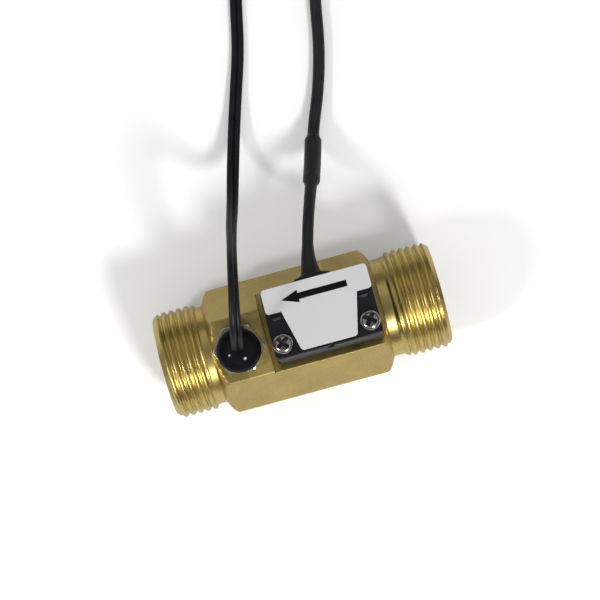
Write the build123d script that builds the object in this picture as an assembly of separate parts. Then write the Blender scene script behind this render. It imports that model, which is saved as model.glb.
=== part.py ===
from build123d import *
from math import cos, pi, radians, sin, tan
import os

# A brass in-line water flow sensor lying on one flat of its hexagon.
# Millimetres. +X points along the pipe towards the inlet, +Z up. The origin is the centre of the
# bottom flat, half way along the body. Water flows from +X to -X.

# Pipe body: hexagon bar with a male G 3/4 thread at each end
BODY_LENGTH = 70.0
HEX_FLATS = 27.0
HEX_LEFT_X = -22.5
HEX_RIGHT_X = 20.2
HEX_CHAMFER_LENGTH = 2.4
HEX_CHAMFER_END_R = 12.3
NECK_R = 12.2
NECK_LEFT_LENGTH = 1.6
NECK_RIGHT_LENGTH = 2.4
THREAD_R = 13.22
THREAD_CHAMFER = 1.8
THREAD_END_R = 11.3

# Bore, widest at the inlet, with a shoulder for each insert
GUIDE_BORE_R = 8.9
CHAMBER_R = 8.5
OUTLET_BORE_R = 8.0
GUIDE_SEAT_X = 7.0
SUPPORT_SEAT_X = -7.0
MOUTH_CHAMFER = 0.6

# Milled pocket for the sensor module: a flat floor that leans to the back
POCKET_TILT = 17.0
POCKET_DEPTH_R = 10.26
POCKET_MARGIN = 1.3

# Inlet swirl guide, its bearing bush and the snap ring that holds it
GUIDE_LENGTH = 8.0
GUIDE_RING_WALL = 1.0
GUIDE_HUB_R = 3.1
GUIDE_VANES = 5
GUIDE_VANE_THICK = 0.9
GUIDE_TWIST = 48.0
GUIDE_NOSE_LENGTH = 2.4
SNAP_RING_THICK = 1.0
SNAP_RING_WALL = 1.2
SNAP_GROOVE_DEPTH = 0.35
INSERT_FIT = 0.03

# Outlet support
SUPPORT_LENGTH = 3.2
SUPPORT_RING_WALL = 1.0
SUPPORT_HUB_R = 2.7
SUPPORT_SPOKES = 3
SUPPORT_SPOKE_THICK = 1.1

# Rotor: hub with helical blades, ring magnet and shaft in two bushes
ROTOR_HUB_R = 2.3
ROTOR_BLADES = 7
ROTOR_BLADE_THICK = 0.8
ROTOR_BLADE_LENGTH = 5.0
ROTOR_TWIST = -34.0
ROTOR_TIP_GAP = 0.4
ROTOR_END_GAP = 0.4
MAGNET_LENGTH = 3.4
MAGNET_R = 5.2
MAGNET_FLANGE = 0.7
SHAFT_R = 0.75
SHAFT_RUNNING_GAP = 0.04
SHAFT_END_GAP = 0.3
BUSH_R = 1.6
BUSH_LENGTH = 2.6

# Temperature plug on the top flat: hexagon head, threaded stem and closed probe
PLUG_X = -15.7
PLUG_FLATS = 11.0
PLUG_TURN = -6.0
PLUG_HEAD_HEIGHT = 4.0
PLUG_HEAD_CHAMFER = 0.5
PLUG_STEM_R = 4.0
PLUG_STEM_CLEARANCE = 0.02
PLUG_PROBE_R = 2.5
PLUG_PROBE_WALL = 0.7
PLUG_TIP_BELOW_AXIS = 1.0
SEAL_SECTION_R = 0.44
SEAL_SPACE = 0.02
DOME_R = 5.4
DOME_HEIGHT = 2.8
BEAD_R = 1.2
BEAD_LEAD_R = 0.22
BEAD_LEAD_SPREAD = 0.55
POTTING_START = 4.4

# Sensor module, in the pocket's own frame: x along the pipe, v to the back, w off the floor
MODULE_X = 5.65
MODULE_WIDTH = 26.5
MODULE_FRONT_V = -10.3
MODULE_BACK_V = 7.5
MODULE_CORNER_R = 1.1
SKIRT_HEIGHT = 1.9
SKIRT_INSET = 0.4
EAR_HEIGHT = 6.6
PLATEAU_STEP = 0.6
MODULE_EDGE_R = 0.35
CAVITY_SIDE_WALL = 4.85
CAVITY_WALL = 1.3
CAVITY_ROOF = 1.3
POTTING_RECESS = 0.2
EAR_SLOT_LENGTH = 2.5
EAR_SLOT_WIDTH = 1.2
EAR_SLOT_DEPTH = 0.7
EAR_SLOT_INSET = 2.45
FRONT_NOTCH_WIDTH = 1.8
FRONT_NOTCH_DEPTH = 0.6
FRONT_NOTCH_HEIGHT = 1.5

# Label: a wide band at the back and a tapering tail to the front
LABEL_THICK = 0.2
LABEL_INSET = 0.25
LABEL_BACK_MARGIN = 0.3
LABEL_BAND_V = 0.8
LABEL_FRONT_MARGIN = 0.5
LABEL_TAIL_BACK_INSET = 3.75
LABEL_TAIL_FRONT_INSET = 6.45
LABEL_CORNER_R = 0.9

# Module screws, M2.5 pan head
SCREW_SIDE_INSET = 2.5
SCREW_FRONT_INSET = 3.3
SCREW_R = 1.25
SCREW_HEAD_R = 2.5
SCREW_HEAD_HEIGHT = 2.0
SCREW_HEAD_ROUND = 1.1
SCREW_DEPTH = 2.5
SCREW_HOLE_CLEARANCE = 0.15
SCREW_DRIVE_WIDTH = 0.75
SCREW_DRIVE_LENGTH = 2.5
SCREW_DRIVE_DEPTH = 1.2

# Circuit board inside the module
BOARD_THICK = 1.0
BOARD_MARGIN = 0.35
CHIP_LENGTH = 4.1
CHIP_WIDTH = 3.0
CHIP_THICK = 1.5
RESISTOR = (2.0, 1.25, 0.55)
CAPACITOR = (2.0, 1.25, 1.1)

# Moulded strain relief at the back of the module
BOOT_W = 3.3
BOOT_FLANGE_WIDTH = 9.8
BOOT_FLANGE_HEIGHT = 5.2
BOOT_FLANGE_THICK = 1.3
BOOT_FLANGE_SLOPE = 1.1
BOOT_SPIGOT_R = 1.8
BOOT_LENGTH = 9.0
BOOT_BASE_WIDTH = 4.9
BOOT_LEAN = 1.05
BOOT_CURVE = 2.0
BOOT_STRAIGHT = 5.2

# Signal cable and temperature lead: both lie on the standing surface
SIGNAL_CABLE_R = 1.5
SIGNAL_SLEEVE_R = 2.15
TWIN_LEAD_R = 1.6
CABLE_TURN = 15.2
SIGNAL_ACROSS = 3.0
TWIN_ACROSS = -17.0
RUN_END_AWAY = 93.5
COIL_RISE = 0.1
COIL_WIDTHS = 10
COIL_TURNS = 1.5
COIL_PITCH = 3.4
COIL_STUB = 11.0
TAIL_OFFSET = 4.95
TAIL_BENDS = 4
TAIL_BEND_ANGLE = 30.0
TIE_WIDTH = 2.5
TIE_THICK = 0.6
TIE_HEAD = 3.6

# Connectors on the far ends
CONNECTOR_LENGTH = 8.0
CONNECTOR_HEIGHT = 4.6
PIN_PITCH = 2.0
CONNECTOR_SIDE_WALL = 1.95
CONTACT_SIZE = 1.2
CONTACT_LENGTH = 6.0
CAVITY_SIZE = 1.4

# Derived places
AXIS_Z = HEX_FLATS / 2
END_X = BODY_LENGTH / 2
POCKET_FLOOR = Plane(
    origin=(
        MODULE_X,
        POCKET_DEPTH_R * sin(radians(POCKET_TILT)),
        AXIS_Z + POCKET_DEPTH_R * cos(radians(POCKET_TILT)),
    ),
    x_dir=(1, 0, 0),
    z_dir=(0, sin(radians(POCKET_TILT)), cos(radians(POCKET_TILT))),
)
MODULE_HALF = MODULE_WIDTH / 2
POCKET_LEFT_X = MODULE_X - MODULE_HALF - POCKET_MARGIN
SCREW_OFFSET = MODULE_HALF - SCREW_SIDE_INSET
SCREW_V = MODULE_FRONT_V + SCREW_FRONT_INSET
LABEL_HALF_WIDTH = MODULE_HALF - LABEL_INSET
LABEL_BACK_V = MODULE_BACK_V - LABEL_BACK_MARGIN
LABEL_FRONT_V = MODULE_FRONT_V + LABEL_FRONT_MARGIN
LABEL_TAIL_BACK_HALF = MODULE_HALF - LABEL_TAIL_BACK_INSET
LABEL_TAIL_FRONT_HALF = MODULE_HALF - LABEL_TAIL_FRONT_INSET
CAVITY_HALF_WIDTH = MODULE_HALF - CAVITY_SIDE_WALL
PLATEAU_W = EAR_HEIGHT + PLATEAU_STEP
CAVITY_TOP_W = PLATEAU_W - CAVITY_ROOF
CAVITY_FRONT_V = MODULE_FRONT_V + CAVITY_WALL
CAVITY_BACK_V = MODULE_BACK_V - CAVITY_WALL
BOARD_W = POTTING_RECESS + CHIP_THICK
HEAD_TOP_Z = HEX_FLATS + PLUG_HEAD_HEIGHT
PROBE_TIP_Z = AXIS_Z - PLUG_TIP_BELOW_AXIS
PROBE_FLOOR_Z = PROBE_TIP_Z + PLUG_PROBE_WALL
SEAL_RECESS_R = PLUG_STEM_R + 2 * SEAL_SECTION_R + 2 * SEAL_SPACE
SEAL_RECESS_DEPTH = 2 * SEAL_SECTION_R + SEAL_SPACE
GUIDE_END_X = GUIDE_SEAT_X + GUIDE_LENGTH
SUPPORT_END_X = SUPPORT_SEAT_X + SUPPORT_LENGTH
ROTOR_LEFT_X = SUPPORT_END_X + ROTOR_END_GAP
ROTOR_RIGHT_X = GUIDE_SEAT_X - ROTOR_END_GAP
BLADE_LEFT_X = ROTOR_LEFT_X + 0.2
MAGNET_RIGHT_X = ROTOR_RIGHT_X - MAGNET_FLANGE
MAGNET_LEFT_X = MAGNET_RIGHT_X - MAGNET_LENGTH
BUSH_BORE_R = SHAFT_R + SHAFT_RUNNING_GAP
OUTLET_BUSH_X = SUPPORT_END_X - BUSH_LENGTH
INLET_BUSH_X = GUIDE_SEAT_X
SHAFT_LEFT_X = OUTLET_BUSH_X + SHAFT_END_GAP
SHAFT_RIGHT_X = INLET_BUSH_X + BUSH_LENGTH - SHAFT_END_GAP


def along_x(radius, start, end):
    """A cylinder on the flow axis from start to end."""
    rod = Cylinder(radius, end - start, align=(Align.CENTER, Align.CENTER, Align.MIN))
    return Pos(start, 0, AXIS_Z) * Rot(0, 90, 0) * rod


def turned(points):
    """A solid turned about the flow axis from (x, radius) points."""
    outline = [(x, 0, AXIS_Z + radius) for x, radius in points]
    return revolve(make_face(Polyline(*outline, close=True)), axis=Axis((0, 0, AXIS_Z), (1, 0, 0)))


def ring_of(blade, count):
    """Copies of a blade spaced evenly round the flow axis."""
    axis = Axis((0, 0, AXIS_Z), (1, 0, 0))
    return [blade.rotate(axis, 360 * index / count) for index in range(count)]


def twisted_blade(start, length, inner, outer, thick, twist):
    """A straight-edged blade that turns about the flow axis as it runs along it."""
    middle = (inner + outer) / 2
    root = Plane(origin=(start, 0, AXIS_Z), x_dir=(0, 1, 0), z_dir=(1, 0, 0))
    face = root * Pos(middle, 0) * Rectangle(outer - inner, thick)
    centre = (start, 0, AXIS_Z)
    return Solid.extrude_linear_with_rotation(face.face(), centre, (length, 0, 0), twist)


# Brass body
def hexagon_bar():
    """The hexagon with both ends turned down to a cone."""
    section = Plane(origin=(HEX_LEFT_X, 0, AXIS_Z), x_dir=(0, 1, 0), z_dir=(1, 0, 0))
    bar = extrude(
        section * RegularPolygon(HEX_FLATS / 2, 6, major_radius=False), HEX_RIGHT_X - HEX_LEFT_X
    )
    corner_r = HEX_FLATS / 2 / cos(pi / 6)
    limit = turned(
        [
            (HEX_LEFT_X, 0),
            (HEX_LEFT_X, HEX_CHAMFER_END_R),
            (HEX_LEFT_X + HEX_CHAMFER_LENGTH, corner_r),
            (HEX_RIGHT_X - HEX_CHAMFER_LENGTH, corner_r),
            (HEX_RIGHT_X, HEX_CHAMFER_END_R),
            (HEX_RIGHT_X, 0),
        ]
    )
    return bar & limit


def threaded_end(hex_x, neck_length, outward):
    """Neck and thread blank at one end; outward is +1 at the inlet and -1 at the outlet."""
    thread_x = hex_x + outward * neck_length
    end_x = outward * END_X
    return turned(
        [
            (hex_x, 0),
            (hex_x, NECK_R),
            (thread_x, NECK_R),
            (thread_x, THREAD_R),
            (end_x - outward * THREAD_CHAMFER, THREAD_R),
            (end_x, THREAD_END_R),
            (end_x, 0),
        ]
    )


def bore_cut():
    """Everything turned out of the inside, from the inlet mouth to the outlet mouth."""
    groove_r = GUIDE_BORE_R + SNAP_GROOVE_DEPTH
    groove_end_x = GUIDE_END_X + SNAP_RING_THICK
    return turned(
        [
            (-END_X, 0),
            (-END_X, OUTLET_BORE_R + MOUTH_CHAMFER),
            (-END_X + MOUTH_CHAMFER, OUTLET_BORE_R),
            (SUPPORT_SEAT_X, OUTLET_BORE_R),
            (SUPPORT_SEAT_X, CHAMBER_R),
            (GUIDE_SEAT_X, CHAMBER_R),
            (GUIDE_SEAT_X, GUIDE_BORE_R),
            (GUIDE_END_X, GUIDE_BORE_R),
            (GUIDE_END_X, groove_r),
            (groove_end_x, groove_r),
            (groove_end_x, GUIDE_BORE_R),
            (END_X - MOUTH_CHAMFER, GUIDE_BORE_R),
            (END_X, GUIDE_BORE_R + MOUTH_CHAMFER),
            (END_X, 0),
        ]
    )


def pocket_cut():
    """The block milled away above the leaning pocket floor, open at the inlet end."""
    size = HEX_FLATS
    block = Box(
        HEX_RIGHT_X - POCKET_LEFT_X, 2 * size, size, align=(Align.MIN, Align.CENTER, Align.MIN)
    )
    return POCKET_FLOOR * Pos(POCKET_LEFT_X - MODULE_X, 0, 0) * block


def plug_hole_cut():
    """Tapped hole for the temperature plug, with a recess for its seal ring."""
    bottom = (Align.CENTER, Align.CENTER, Align.MIN)
    hole = Pos(PLUG_X, 0, AXIS_Z) * Cylinder(PLUG_STEM_R, HEX_FLATS, align=bottom)
    recess = Pos(PLUG_X, 0, HEX_FLATS - SEAL_RECESS_DEPTH) * Cylinder(
        SEAL_RECESS_R, HEX_FLATS, align=bottom
    )
    return hole + recess


def screw_places():
    """Module screw axes on the pocket floor, pointing off it."""
    return [POCKET_FLOOR * Pos(side * SCREW_OFFSET, SCREW_V, 0) for side in (-1, 1)]


def brass_body():
    body = hexagon_bar() - pocket_cut()
    body += threaded_end(HEX_RIGHT_X, NECK_RIGHT_LENGTH, 1)
    body += threaded_end(HEX_LEFT_X, NECK_LEFT_LENGTH, -1)
    body -= bore_cut()
    body -= plug_hole_cut()
    for place in screw_places():
        hole = Cylinder(SCREW_R, SCREW_DEPTH, align=(Align.CENTER, Align.CENTER, Align.MAX))
        body -= place * hole
    return body


# Inserts in the bore
def flow_guide():
    """Ring, hub with a pointed nose, and vanes that set the water turning."""
    outer = GUIDE_BORE_R - INSERT_FIT
    inner = outer - GUIDE_RING_WALL
    guide = along_x(outer, GUIDE_SEAT_X, GUIDE_END_X) - along_x(inner, GUIDE_SEAT_X, GUIDE_END_X)
    hub = turned(
        [
            (GUIDE_SEAT_X, 0),
            (GUIDE_SEAT_X, GUIDE_HUB_R),
            (GUIDE_END_X, GUIDE_HUB_R),
            (GUIDE_END_X + GUIDE_NOSE_LENGTH * 0.6, GUIDE_HUB_R * 0.72),
            (GUIDE_END_X + GUIDE_NOSE_LENGTH, GUIDE_HUB_R * 0.3),
            (GUIDE_END_X + GUIDE_NOSE_LENGTH, 0),
        ]
    )
    vane = twisted_blade(
        GUIDE_SEAT_X,
        GUIDE_LENGTH,
        GUIDE_HUB_R - 0.4,
        inner + GUIDE_RING_WALL / 2,
        GUIDE_VANE_THICK,
        GUIDE_TWIST,
    )
    guide += hub
    for copy in ring_of(vane, GUIDE_VANES):
        guide += copy
    return guide - along_x(BUSH_R, INLET_BUSH_X, INLET_BUSH_X + BUSH_LENGTH)


def snap_ring():
    """Open retaining ring sprung into the groove in front of the guide."""
    outer = GUIDE_BORE_R + SNAP_GROOVE_DEPTH
    end = GUIDE_END_X + SNAP_RING_THICK
    inner = GUIDE_BORE_R - SNAP_RING_WALL
    ring = along_x(outer, GUIDE_END_X, end) - along_x(inner, GUIDE_END_X, end)
    gap = Box(3 * SNAP_RING_THICK, outer * 0.7, outer, align=(Align.CENTER, Align.CENTER, Align.MIN))
    return ring - Pos((GUIDE_END_X + end) / 2, 0, AXIS_Z) * gap


def outlet_support():
    """Spoked ring on the outlet shoulder that carries the rear bush."""
    outer = CHAMBER_R - INSERT_FIT
    inner = outer - SUPPORT_RING_WALL
    ring = along_x(outer, SUPPORT_SEAT_X, SUPPORT_END_X)
    support = ring - along_x(inner, SUPPORT_SEAT_X, SUPPORT_END_X)
    support += along_x(SUPPORT_HUB_R, SUPPORT_SEAT_X, SUPPORT_END_X)
    spoke = Pos((SUPPORT_SEAT_X + SUPPORT_END_X) / 2, 0, AXIS_Z) * Box(
        SUPPORT_LENGTH,
        SUPPORT_SPOKE_THICK,
        inner + SUPPORT_RING_WALL / 2,
        align=(Align.CENTER, Align.CENTER, Align.MIN),
    )
    for copy in ring_of(spoke, SUPPORT_SPOKES):
        support += copy
    return support - along_x(BUSH_R, OUTLET_BUSH_X, SUPPORT_END_X)


def bush(start):
    """Plain bearing bush for one end of the shaft."""
    end = start + BUSH_LENGTH
    return along_x(BUSH_R, start, end) - along_x(BUSH_BORE_R, start, end)


def rotor():
    """Hub with helical blades behind and a flange in front of the magnet."""
    tip = CHAMBER_R - ROTOR_TIP_GAP
    hub = along_x(ROTOR_HUB_R, ROTOR_LEFT_X, ROTOR_RIGHT_X)
    hub += along_x(MAGNET_R, MAGNET_RIGHT_X, ROTOR_RIGHT_X)
    blade = twisted_blade(
        BLADE_LEFT_X,
        ROTOR_BLADE_LENGTH,
        ROTOR_HUB_R - 0.4,
        tip,
        ROTOR_BLADE_THICK,
        ROTOR_TWIST,
    )
    for copy in ring_of(blade, ROTOR_BLADES):
        hub += copy
    return hub - along_x(SHAFT_R, ROTOR_LEFT_X, ROTOR_RIGHT_X)


def rotor_magnet():
    """Ring magnet whose poles pass under the Hall chip."""
    ring = along_x(MAGNET_R, MAGNET_LEFT_X, MAGNET_RIGHT_X)
    return ring - along_x(ROTOR_HUB_R, MAGNET_LEFT_X, MAGNET_RIGHT_X)


def rotor_shaft():
    shaft = along_x(SHAFT_R, SHAFT_LEFT_X, SHAFT_RIGHT_X)
    return chamfer(shaft.edges(), SHAFT_R / 4)


# Temperature plug
def upright(radius, bottom, top):
    """A cylinder on the plug's axis."""
    rod = Cylinder(radius, top - bottom, align=(Align.CENTER, Align.CENTER, Align.MIN))
    return Pos(PLUG_X, 0, bottom) * rod


def ntc_plug():
    head = Pos(PLUG_X, 0, HEX_FLATS) * extrude(
        RegularPolygon(PLUG_FLATS / 2, 6, major_radius=False, rotation=PLUG_TURN), PLUG_HEAD_HEIGHT
    )
    corner_r = PLUG_FLATS / 2 / cos(pi / 6)
    top_cone = Pos(PLUG_X, 0, HEX_FLATS) * Cylinder(
        corner_r, PLUG_HEAD_HEIGHT, align=(Align.CENTER, Align.CENTER, Align.MIN)
    )
    top_cone = chamfer(top_cone.edges().group_by(Axis.Z)[-1], PLUG_HEAD_CHAMFER)
    stem_bottom = AXIS_Z + OUTLET_BORE_R
    plug = head & top_cone
    plug += upright(PLUG_STEM_R - PLUG_STEM_CLEARANCE, stem_bottom, HEX_FLATS)
    probe = upright(PLUG_PROBE_R, PROBE_TIP_Z, stem_bottom)
    probe = fillet(probe.edges().group_by(Axis.Z)[0], PLUG_PROBE_R * 0.6)
    plug += probe
    return plug - upright(PLUG_PROBE_R - PLUG_PROBE_WALL, PROBE_FLOOR_Z, HEAD_TOP_Z)


def ntc_seal_ring():
    """Rubber ring round the stem, squeezed under the head."""
    ring = Torus(PLUG_STEM_R + SEAL_SECTION_R + SEAL_SPACE, SEAL_SECTION_R)
    return Pos(PLUG_X, 0, HEX_FLATS - SEAL_SECTION_R - SEAL_SPACE / 2) * ring


def thermistor():
    """Bead at the probe's tip with its two wires."""
    bead_z = PROBE_FLOOR_Z + BEAD_R
    bead = Pos(PLUG_X, 0, bead_z) * Sphere(BEAD_R)
    wire_top = PROBE_FLOOR_Z + POTTING_START + 1.5
    for side in (-1, 1):
        wire = Cylinder(
            BEAD_LEAD_R, wire_top - bead_z, align=(Align.CENTER, Align.CENTER, Align.MIN)
        )
        bead += Pos(PLUG_X + side * BEAD_LEAD_SPREAD, 0, bead_z) * wire
    return bead


def ntc_potting():
    """Resin that fills the plug and stands on it as a dome, cast round the lead."""
    sphere_r = (DOME_R**2 + DOME_HEIGHT**2) / (2 * DOME_HEIGHT)
    ball = Pos(PLUG_X, 0, HEAD_TOP_Z + DOME_HEIGHT - sphere_r) * Sphere(sphere_r)
    resin = ball & upright(DOME_R, HEAD_TOP_Z, HEAD_TOP_Z + DOME_HEIGHT)
    resin += upright(PLUG_PROBE_R - PLUG_PROBE_WALL, PROBE_FLOOR_Z + POTTING_START, HEAD_TOP_Z)
    return resin - thermistor() - cord_tube(TWIN_ROUTE[:4], TWIN_LEAD_R)


# Sensor module
def rounded_plan(half_width, front, back, corner):
    """A rounded rectangle in the module's plan."""
    return Pos(0, (front + back) / 2) * RectangleRounded(2 * half_width, back - front, corner)


def tee_plan(margin):
    """Plan of the label, grown by a margin: a wide band and a tapering tail."""
    band = rounded_plan(
        LABEL_HALF_WIDTH + margin, LABEL_BAND_V - margin, LABEL_BACK_V + margin, LABEL_CORNER_R
    )
    tail = make_face(
        Polyline(
            (-LABEL_TAIL_BACK_HALF - margin, LABEL_BAND_V + LABEL_CORNER_R),
            (-LABEL_TAIL_FRONT_HALF - margin, LABEL_FRONT_V - margin),
            (LABEL_TAIL_FRONT_HALF + margin, LABEL_FRONT_V - margin),
            (LABEL_TAIL_BACK_HALF + margin, LABEL_BAND_V + LABEL_CORNER_R),
            close=True,
        )
    )
    tail = fillet(tail.vertices().group_by(Axis.Y)[0], LABEL_CORNER_R)
    return band + tail


def cavity_plan(margin):
    """Plan of the space inside the housing, shrunk by a margin."""
    return rounded_plan(
        CAVITY_HALF_WIDTH - margin, CAVITY_FRONT_V + margin, CAVITY_BACK_V - margin, 0.6
    )


def cavity_block():
    return extrude(cavity_plan(0), CAVITY_TOP_W)


def sensor_housing():
    """Moulded cover: skirt, shell, raised label field, ears for the screws."""
    skirt = rounded_plan(
        MODULE_HALF - SKIRT_INSET,
        MODULE_FRONT_V + SKIRT_INSET,
        MODULE_BACK_V - SKIRT_INSET,
        MODULE_CORNER_R,
    )
    shell = Pos(0, 0, SKIRT_HEIGHT) * extrude(
        rounded_plan(MODULE_HALF, MODULE_FRONT_V, MODULE_BACK_V, MODULE_CORNER_R),
        EAR_HEIGHT - SKIRT_HEIGHT,
    )
    shell = fillet(shell.edges().group_by(Axis.Z)[-1], MODULE_EDGE_R)
    housing = extrude(skirt, SKIRT_HEIGHT) + shell
    housing += Pos(0, 0, SKIRT_HEIGHT) * extrude(tee_plan(0), PLATEAU_W - SKIRT_HEIGHT)
    housing -= cavity_block()
    top = Pos(0, 0, EAR_HEIGHT)
    for side in (-1, 1):
        slot = Box(EAR_SLOT_LENGTH, EAR_SLOT_WIDTH, 2 * EAR_SLOT_DEPTH)
        slot_x = side * (MODULE_HALF - EAR_SLOT_INSET)
        housing -= top * Pos(slot_x, LABEL_BAND_V - EAR_SLOT_WIDTH, 0) * slot
        bolt = Cylinder(SCREW_R + SCREW_HOLE_CLEARANCE, 3 * EAR_HEIGHT)
        housing -= Pos(side * SCREW_OFFSET, SCREW_V, 0) * bolt
    notch = Polyline(
        (-FRONT_NOTCH_WIDTH / 2, MODULE_FRONT_V),
        (FRONT_NOTCH_WIDTH / 2, MODULE_FRONT_V),
        (FRONT_NOTCH_WIDTH / 2, MODULE_FRONT_V + FRONT_NOTCH_DEPTH),
        close=True,
    )
    notch_w = EAR_HEIGHT - FRONT_NOTCH_HEIGHT
    housing -= Pos(0, 0, notch_w) * extrude(make_face(notch), PLATEAU_W)
    housing -= spigot()
    return POCKET_FLOOR * housing


def spigot():
    """The strain relief's round plug through the housing's back wall, in the module's frame."""
    rod = Cylinder(BOOT_SPIGOT_R, CAVITY_WALL, align=(Align.CENTER, Align.CENTER, Align.MIN))
    return Pos(0, CAVITY_BACK_V, BOOT_W) * Rot(-90, 0, 0) * rod


def board_block():
    plate = extrude(cavity_plan(BOARD_MARGIN), BOARD_THICK)
    return Pos(0, 0, BOARD_W) * plate


def chip_block():
    """Hall chip hung under the board, over the magnet."""
    chip_x = (MAGNET_LEFT_X + MAGNET_RIGHT_X) / 2 - MODULE_X
    body = Pos(chip_x, 0, POTTING_RECESS) * Box(
        CHIP_LENGTH, CHIP_WIDTH, CHIP_THICK, align=(Align.CENTER, Align.CENTER, Align.MIN)
    )
    return body


def component_blocks():
    """Pull-up resistor and supply capacitor on top of the board."""
    top = BOARD_W + BOARD_THICK
    place = (Align.CENTER, Align.CENTER, Align.MIN)
    resistor = Pos(-3.4, 2.2, top) * Box(*RESISTOR, align=place)
    capacitor = Pos(2.6, 2.2, top) * Box(*CAPACITOR, align=place)
    return resistor, capacitor


def sensor_potting():
    """Resin round the board, cast from below and left just short of the pocket floor."""
    resin = Pos(0, 0, POTTING_RECESS) * extrude(cavity_plan(0), CAVITY_TOP_W - POTTING_RECESS)
    resin = resin - board_block() - chip_block()
    for block in component_blocks():
        resin -= block
    return POCKET_FLOOR * resin


def label_plate():
    return POCKET_FLOOR * Pos(0, 0, PLATEAU_W) * extrude(tee_plan(-0.05), LABEL_THICK)


def module_screw(place):
    """Pan-head screw with a cross recess, seated on its ear."""
    bottom = (Align.CENTER, Align.CENTER, Align.MIN)
    head = Pos(0, 0, EAR_HEIGHT) * Cylinder(SCREW_HEAD_R, SCREW_HEAD_HEIGHT, align=bottom)
    head = fillet(head.edges().group_by(Axis.Z)[-1], SCREW_HEAD_ROUND)
    shank = Pos(0, 0, -SCREW_DEPTH) * Cylinder(SCREW_R, SCREW_DEPTH + EAR_HEIGHT, align=bottom)
    screw = head + shank
    recess_z = EAR_HEIGHT + SCREW_HEAD_HEIGHT
    for turn in (0, 90):
        slot = Box(SCREW_DRIVE_LENGTH, SCREW_DRIVE_WIDTH, 2 * SCREW_DRIVE_DEPTH)
        screw -= Pos(0, 0, recess_z) * Rot(0, 0, turn + 35) * slot
    return place * screw


def cable_boot():
    """Flange against the back wall, then a tail that thins down to the cable."""
    back = Plane(origin=(0, MODULE_BACK_V, BOOT_W), x_dir=(-1, 0, 0), z_dir=(0, 1, 0))
    plate = back * RectangleRounded(BOOT_FLANGE_WIDTH, BOOT_FLANGE_HEIGHT, 2.2)
    flange = extrude(plate, BOOT_FLANGE_THICK)
    flange = chamfer(
        flange.edges().group_by(Axis.Y)[-1], BOOT_FLANGE_THICK * 0.7, BOOT_FLANGE_SLOPE
    )
    tail_length = BOOT_LENGTH - BOOT_FLANGE_THICK
    widths = [(0.0, BOOT_BASE_WIDTH), (0.25, 4.1), (0.55, 3.4), (1.0, 2 * SIGNAL_CABLE_R)]
    sections = []
    for share, width in widths:
        centre = (
            BOOT_LEAN * share**BOOT_CURVE,
            MODULE_BACK_V + BOOT_FLANGE_THICK + share * tail_length,
            BOOT_W,
        )
        lean = BOOT_LEAN * BOOT_CURVE * share ** (BOOT_CURVE - 1) / tail_length
        plane = Plane(origin=centre, x_dir=(-1, lean, 0), z_dir=(lean, 1, 0))
        sections.append(plane * Circle(width / 2))
    boot = flange + loft(sections) + spigot()
    return POCKET_FLOOR * boot


# Cords
def table_point(across, away, height):
    """A point on the cords' side: across to the right of their heading, away along it."""
    turn = radians(CABLE_TURN)
    return (
        across * cos(turn) + away * sin(turn),
        away * cos(turn) - across * sin(turn),
        height,
    )


def past_boot(distance):
    """A point straight out of the strain relief, at a distance from its end."""
    end = Vector(BOOT_LEAN, MODULE_BACK_V + BOOT_LENGTH, BOOT_W)
    lean = BOOT_LEAN * BOOT_CURVE / (BOOT_LENGTH - BOOT_FLANGE_THICK)
    return tuple(POCKET_FLOOR.from_local_coords(end + Vector(lean, 1, 0).normalized() * distance))


SIGNAL_ROUTE = [
    past_boot(0),
    past_boot(BOOT_STRAIGHT),
    (9.9, 29.9, 16.4),
    (11.9, 35.3, 10.8),
    (13.8, 41.1, 6.0),
    (15.8, 48.1, 2.9),
    table_point(3.9, 60.0, 1.7),
    table_point(4.2, 71.5, 1.6),
    table_point(SIGNAL_ACROSS, 83.5, 1.6),
    table_point(SIGNAL_ACROSS, RUN_END_AWAY, 1.6),
]
TWIN_ROUTE = [
    (PLUG_X, 0.0, 32.6),
    (-15.3, 2.2, 38.3),
    (-14.2, 7.4, 41.9),
    (-12.7, 14.0, 42.2),
    (-11.5, 20.1, 38.7),
    (-10.7, 24.7, 31.2),
    (-10.0, 28.9, 22.4),
    (-8.7, 33.9, 13.9),
    (-6.9, 41.2, 7.4),
    (-4.4, 50.2, 3.7),
    table_point(TWIN_ACROSS, 58.5, 2.0),
    table_point(-16.3, 70.5, 1.7),
    table_point(TWIN_ACROSS, 83.0, 1.7),
    table_point(TWIN_ACROSS, RUN_END_AWAY, 1.7),
]
SLEEVE_EDGES = slice(5, 8)


def corner_radii(points):
    """Arc radius at each inner point: 0.45 of the shorter run over the tangent of half the turn."""
    radii = []
    for before, here, after in zip(points, points[1:], points[2:]):
        first = Vector(here) - Vector(before)
        second = Vector(after) - Vector(here)
        shorter = min(first.length, second.length)
        radii.append(0.45 * shorter / tan(radians(first.get_angle(second) / 2)))
    return radii


def cord_line(points):
    return FilletPolyline(*points, radius=corner_radii(points))


def cord_tube(points, radius):
    """A round tube along straight runs joined by tangent arcs."""
    line = cord_line(points)
    return sweep(Plane(origin=line @ 0, z_dir=line % 0) * Circle(radius), path=line)


def coil_band(radius):
    """Radius at the middle of a coil's turns and half the width that their centre lines take."""
    return COIL_WIDTHS * radius, COIL_TURNS * COIL_PITCH / 2


def coil_place(lead_across, side, radius):
    """The coil's centre beside its lead, turned with the cords; side is -1 where it enters on the left."""
    middle, half_band = coil_band(radius)
    centre_across = lead_across - side * (middle + half_band)
    return Pos(*table_point(centre_across, RUN_END_AWAY + COIL_STUB, 0)) * Rot(0, 0, -CABLE_TURN)


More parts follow.
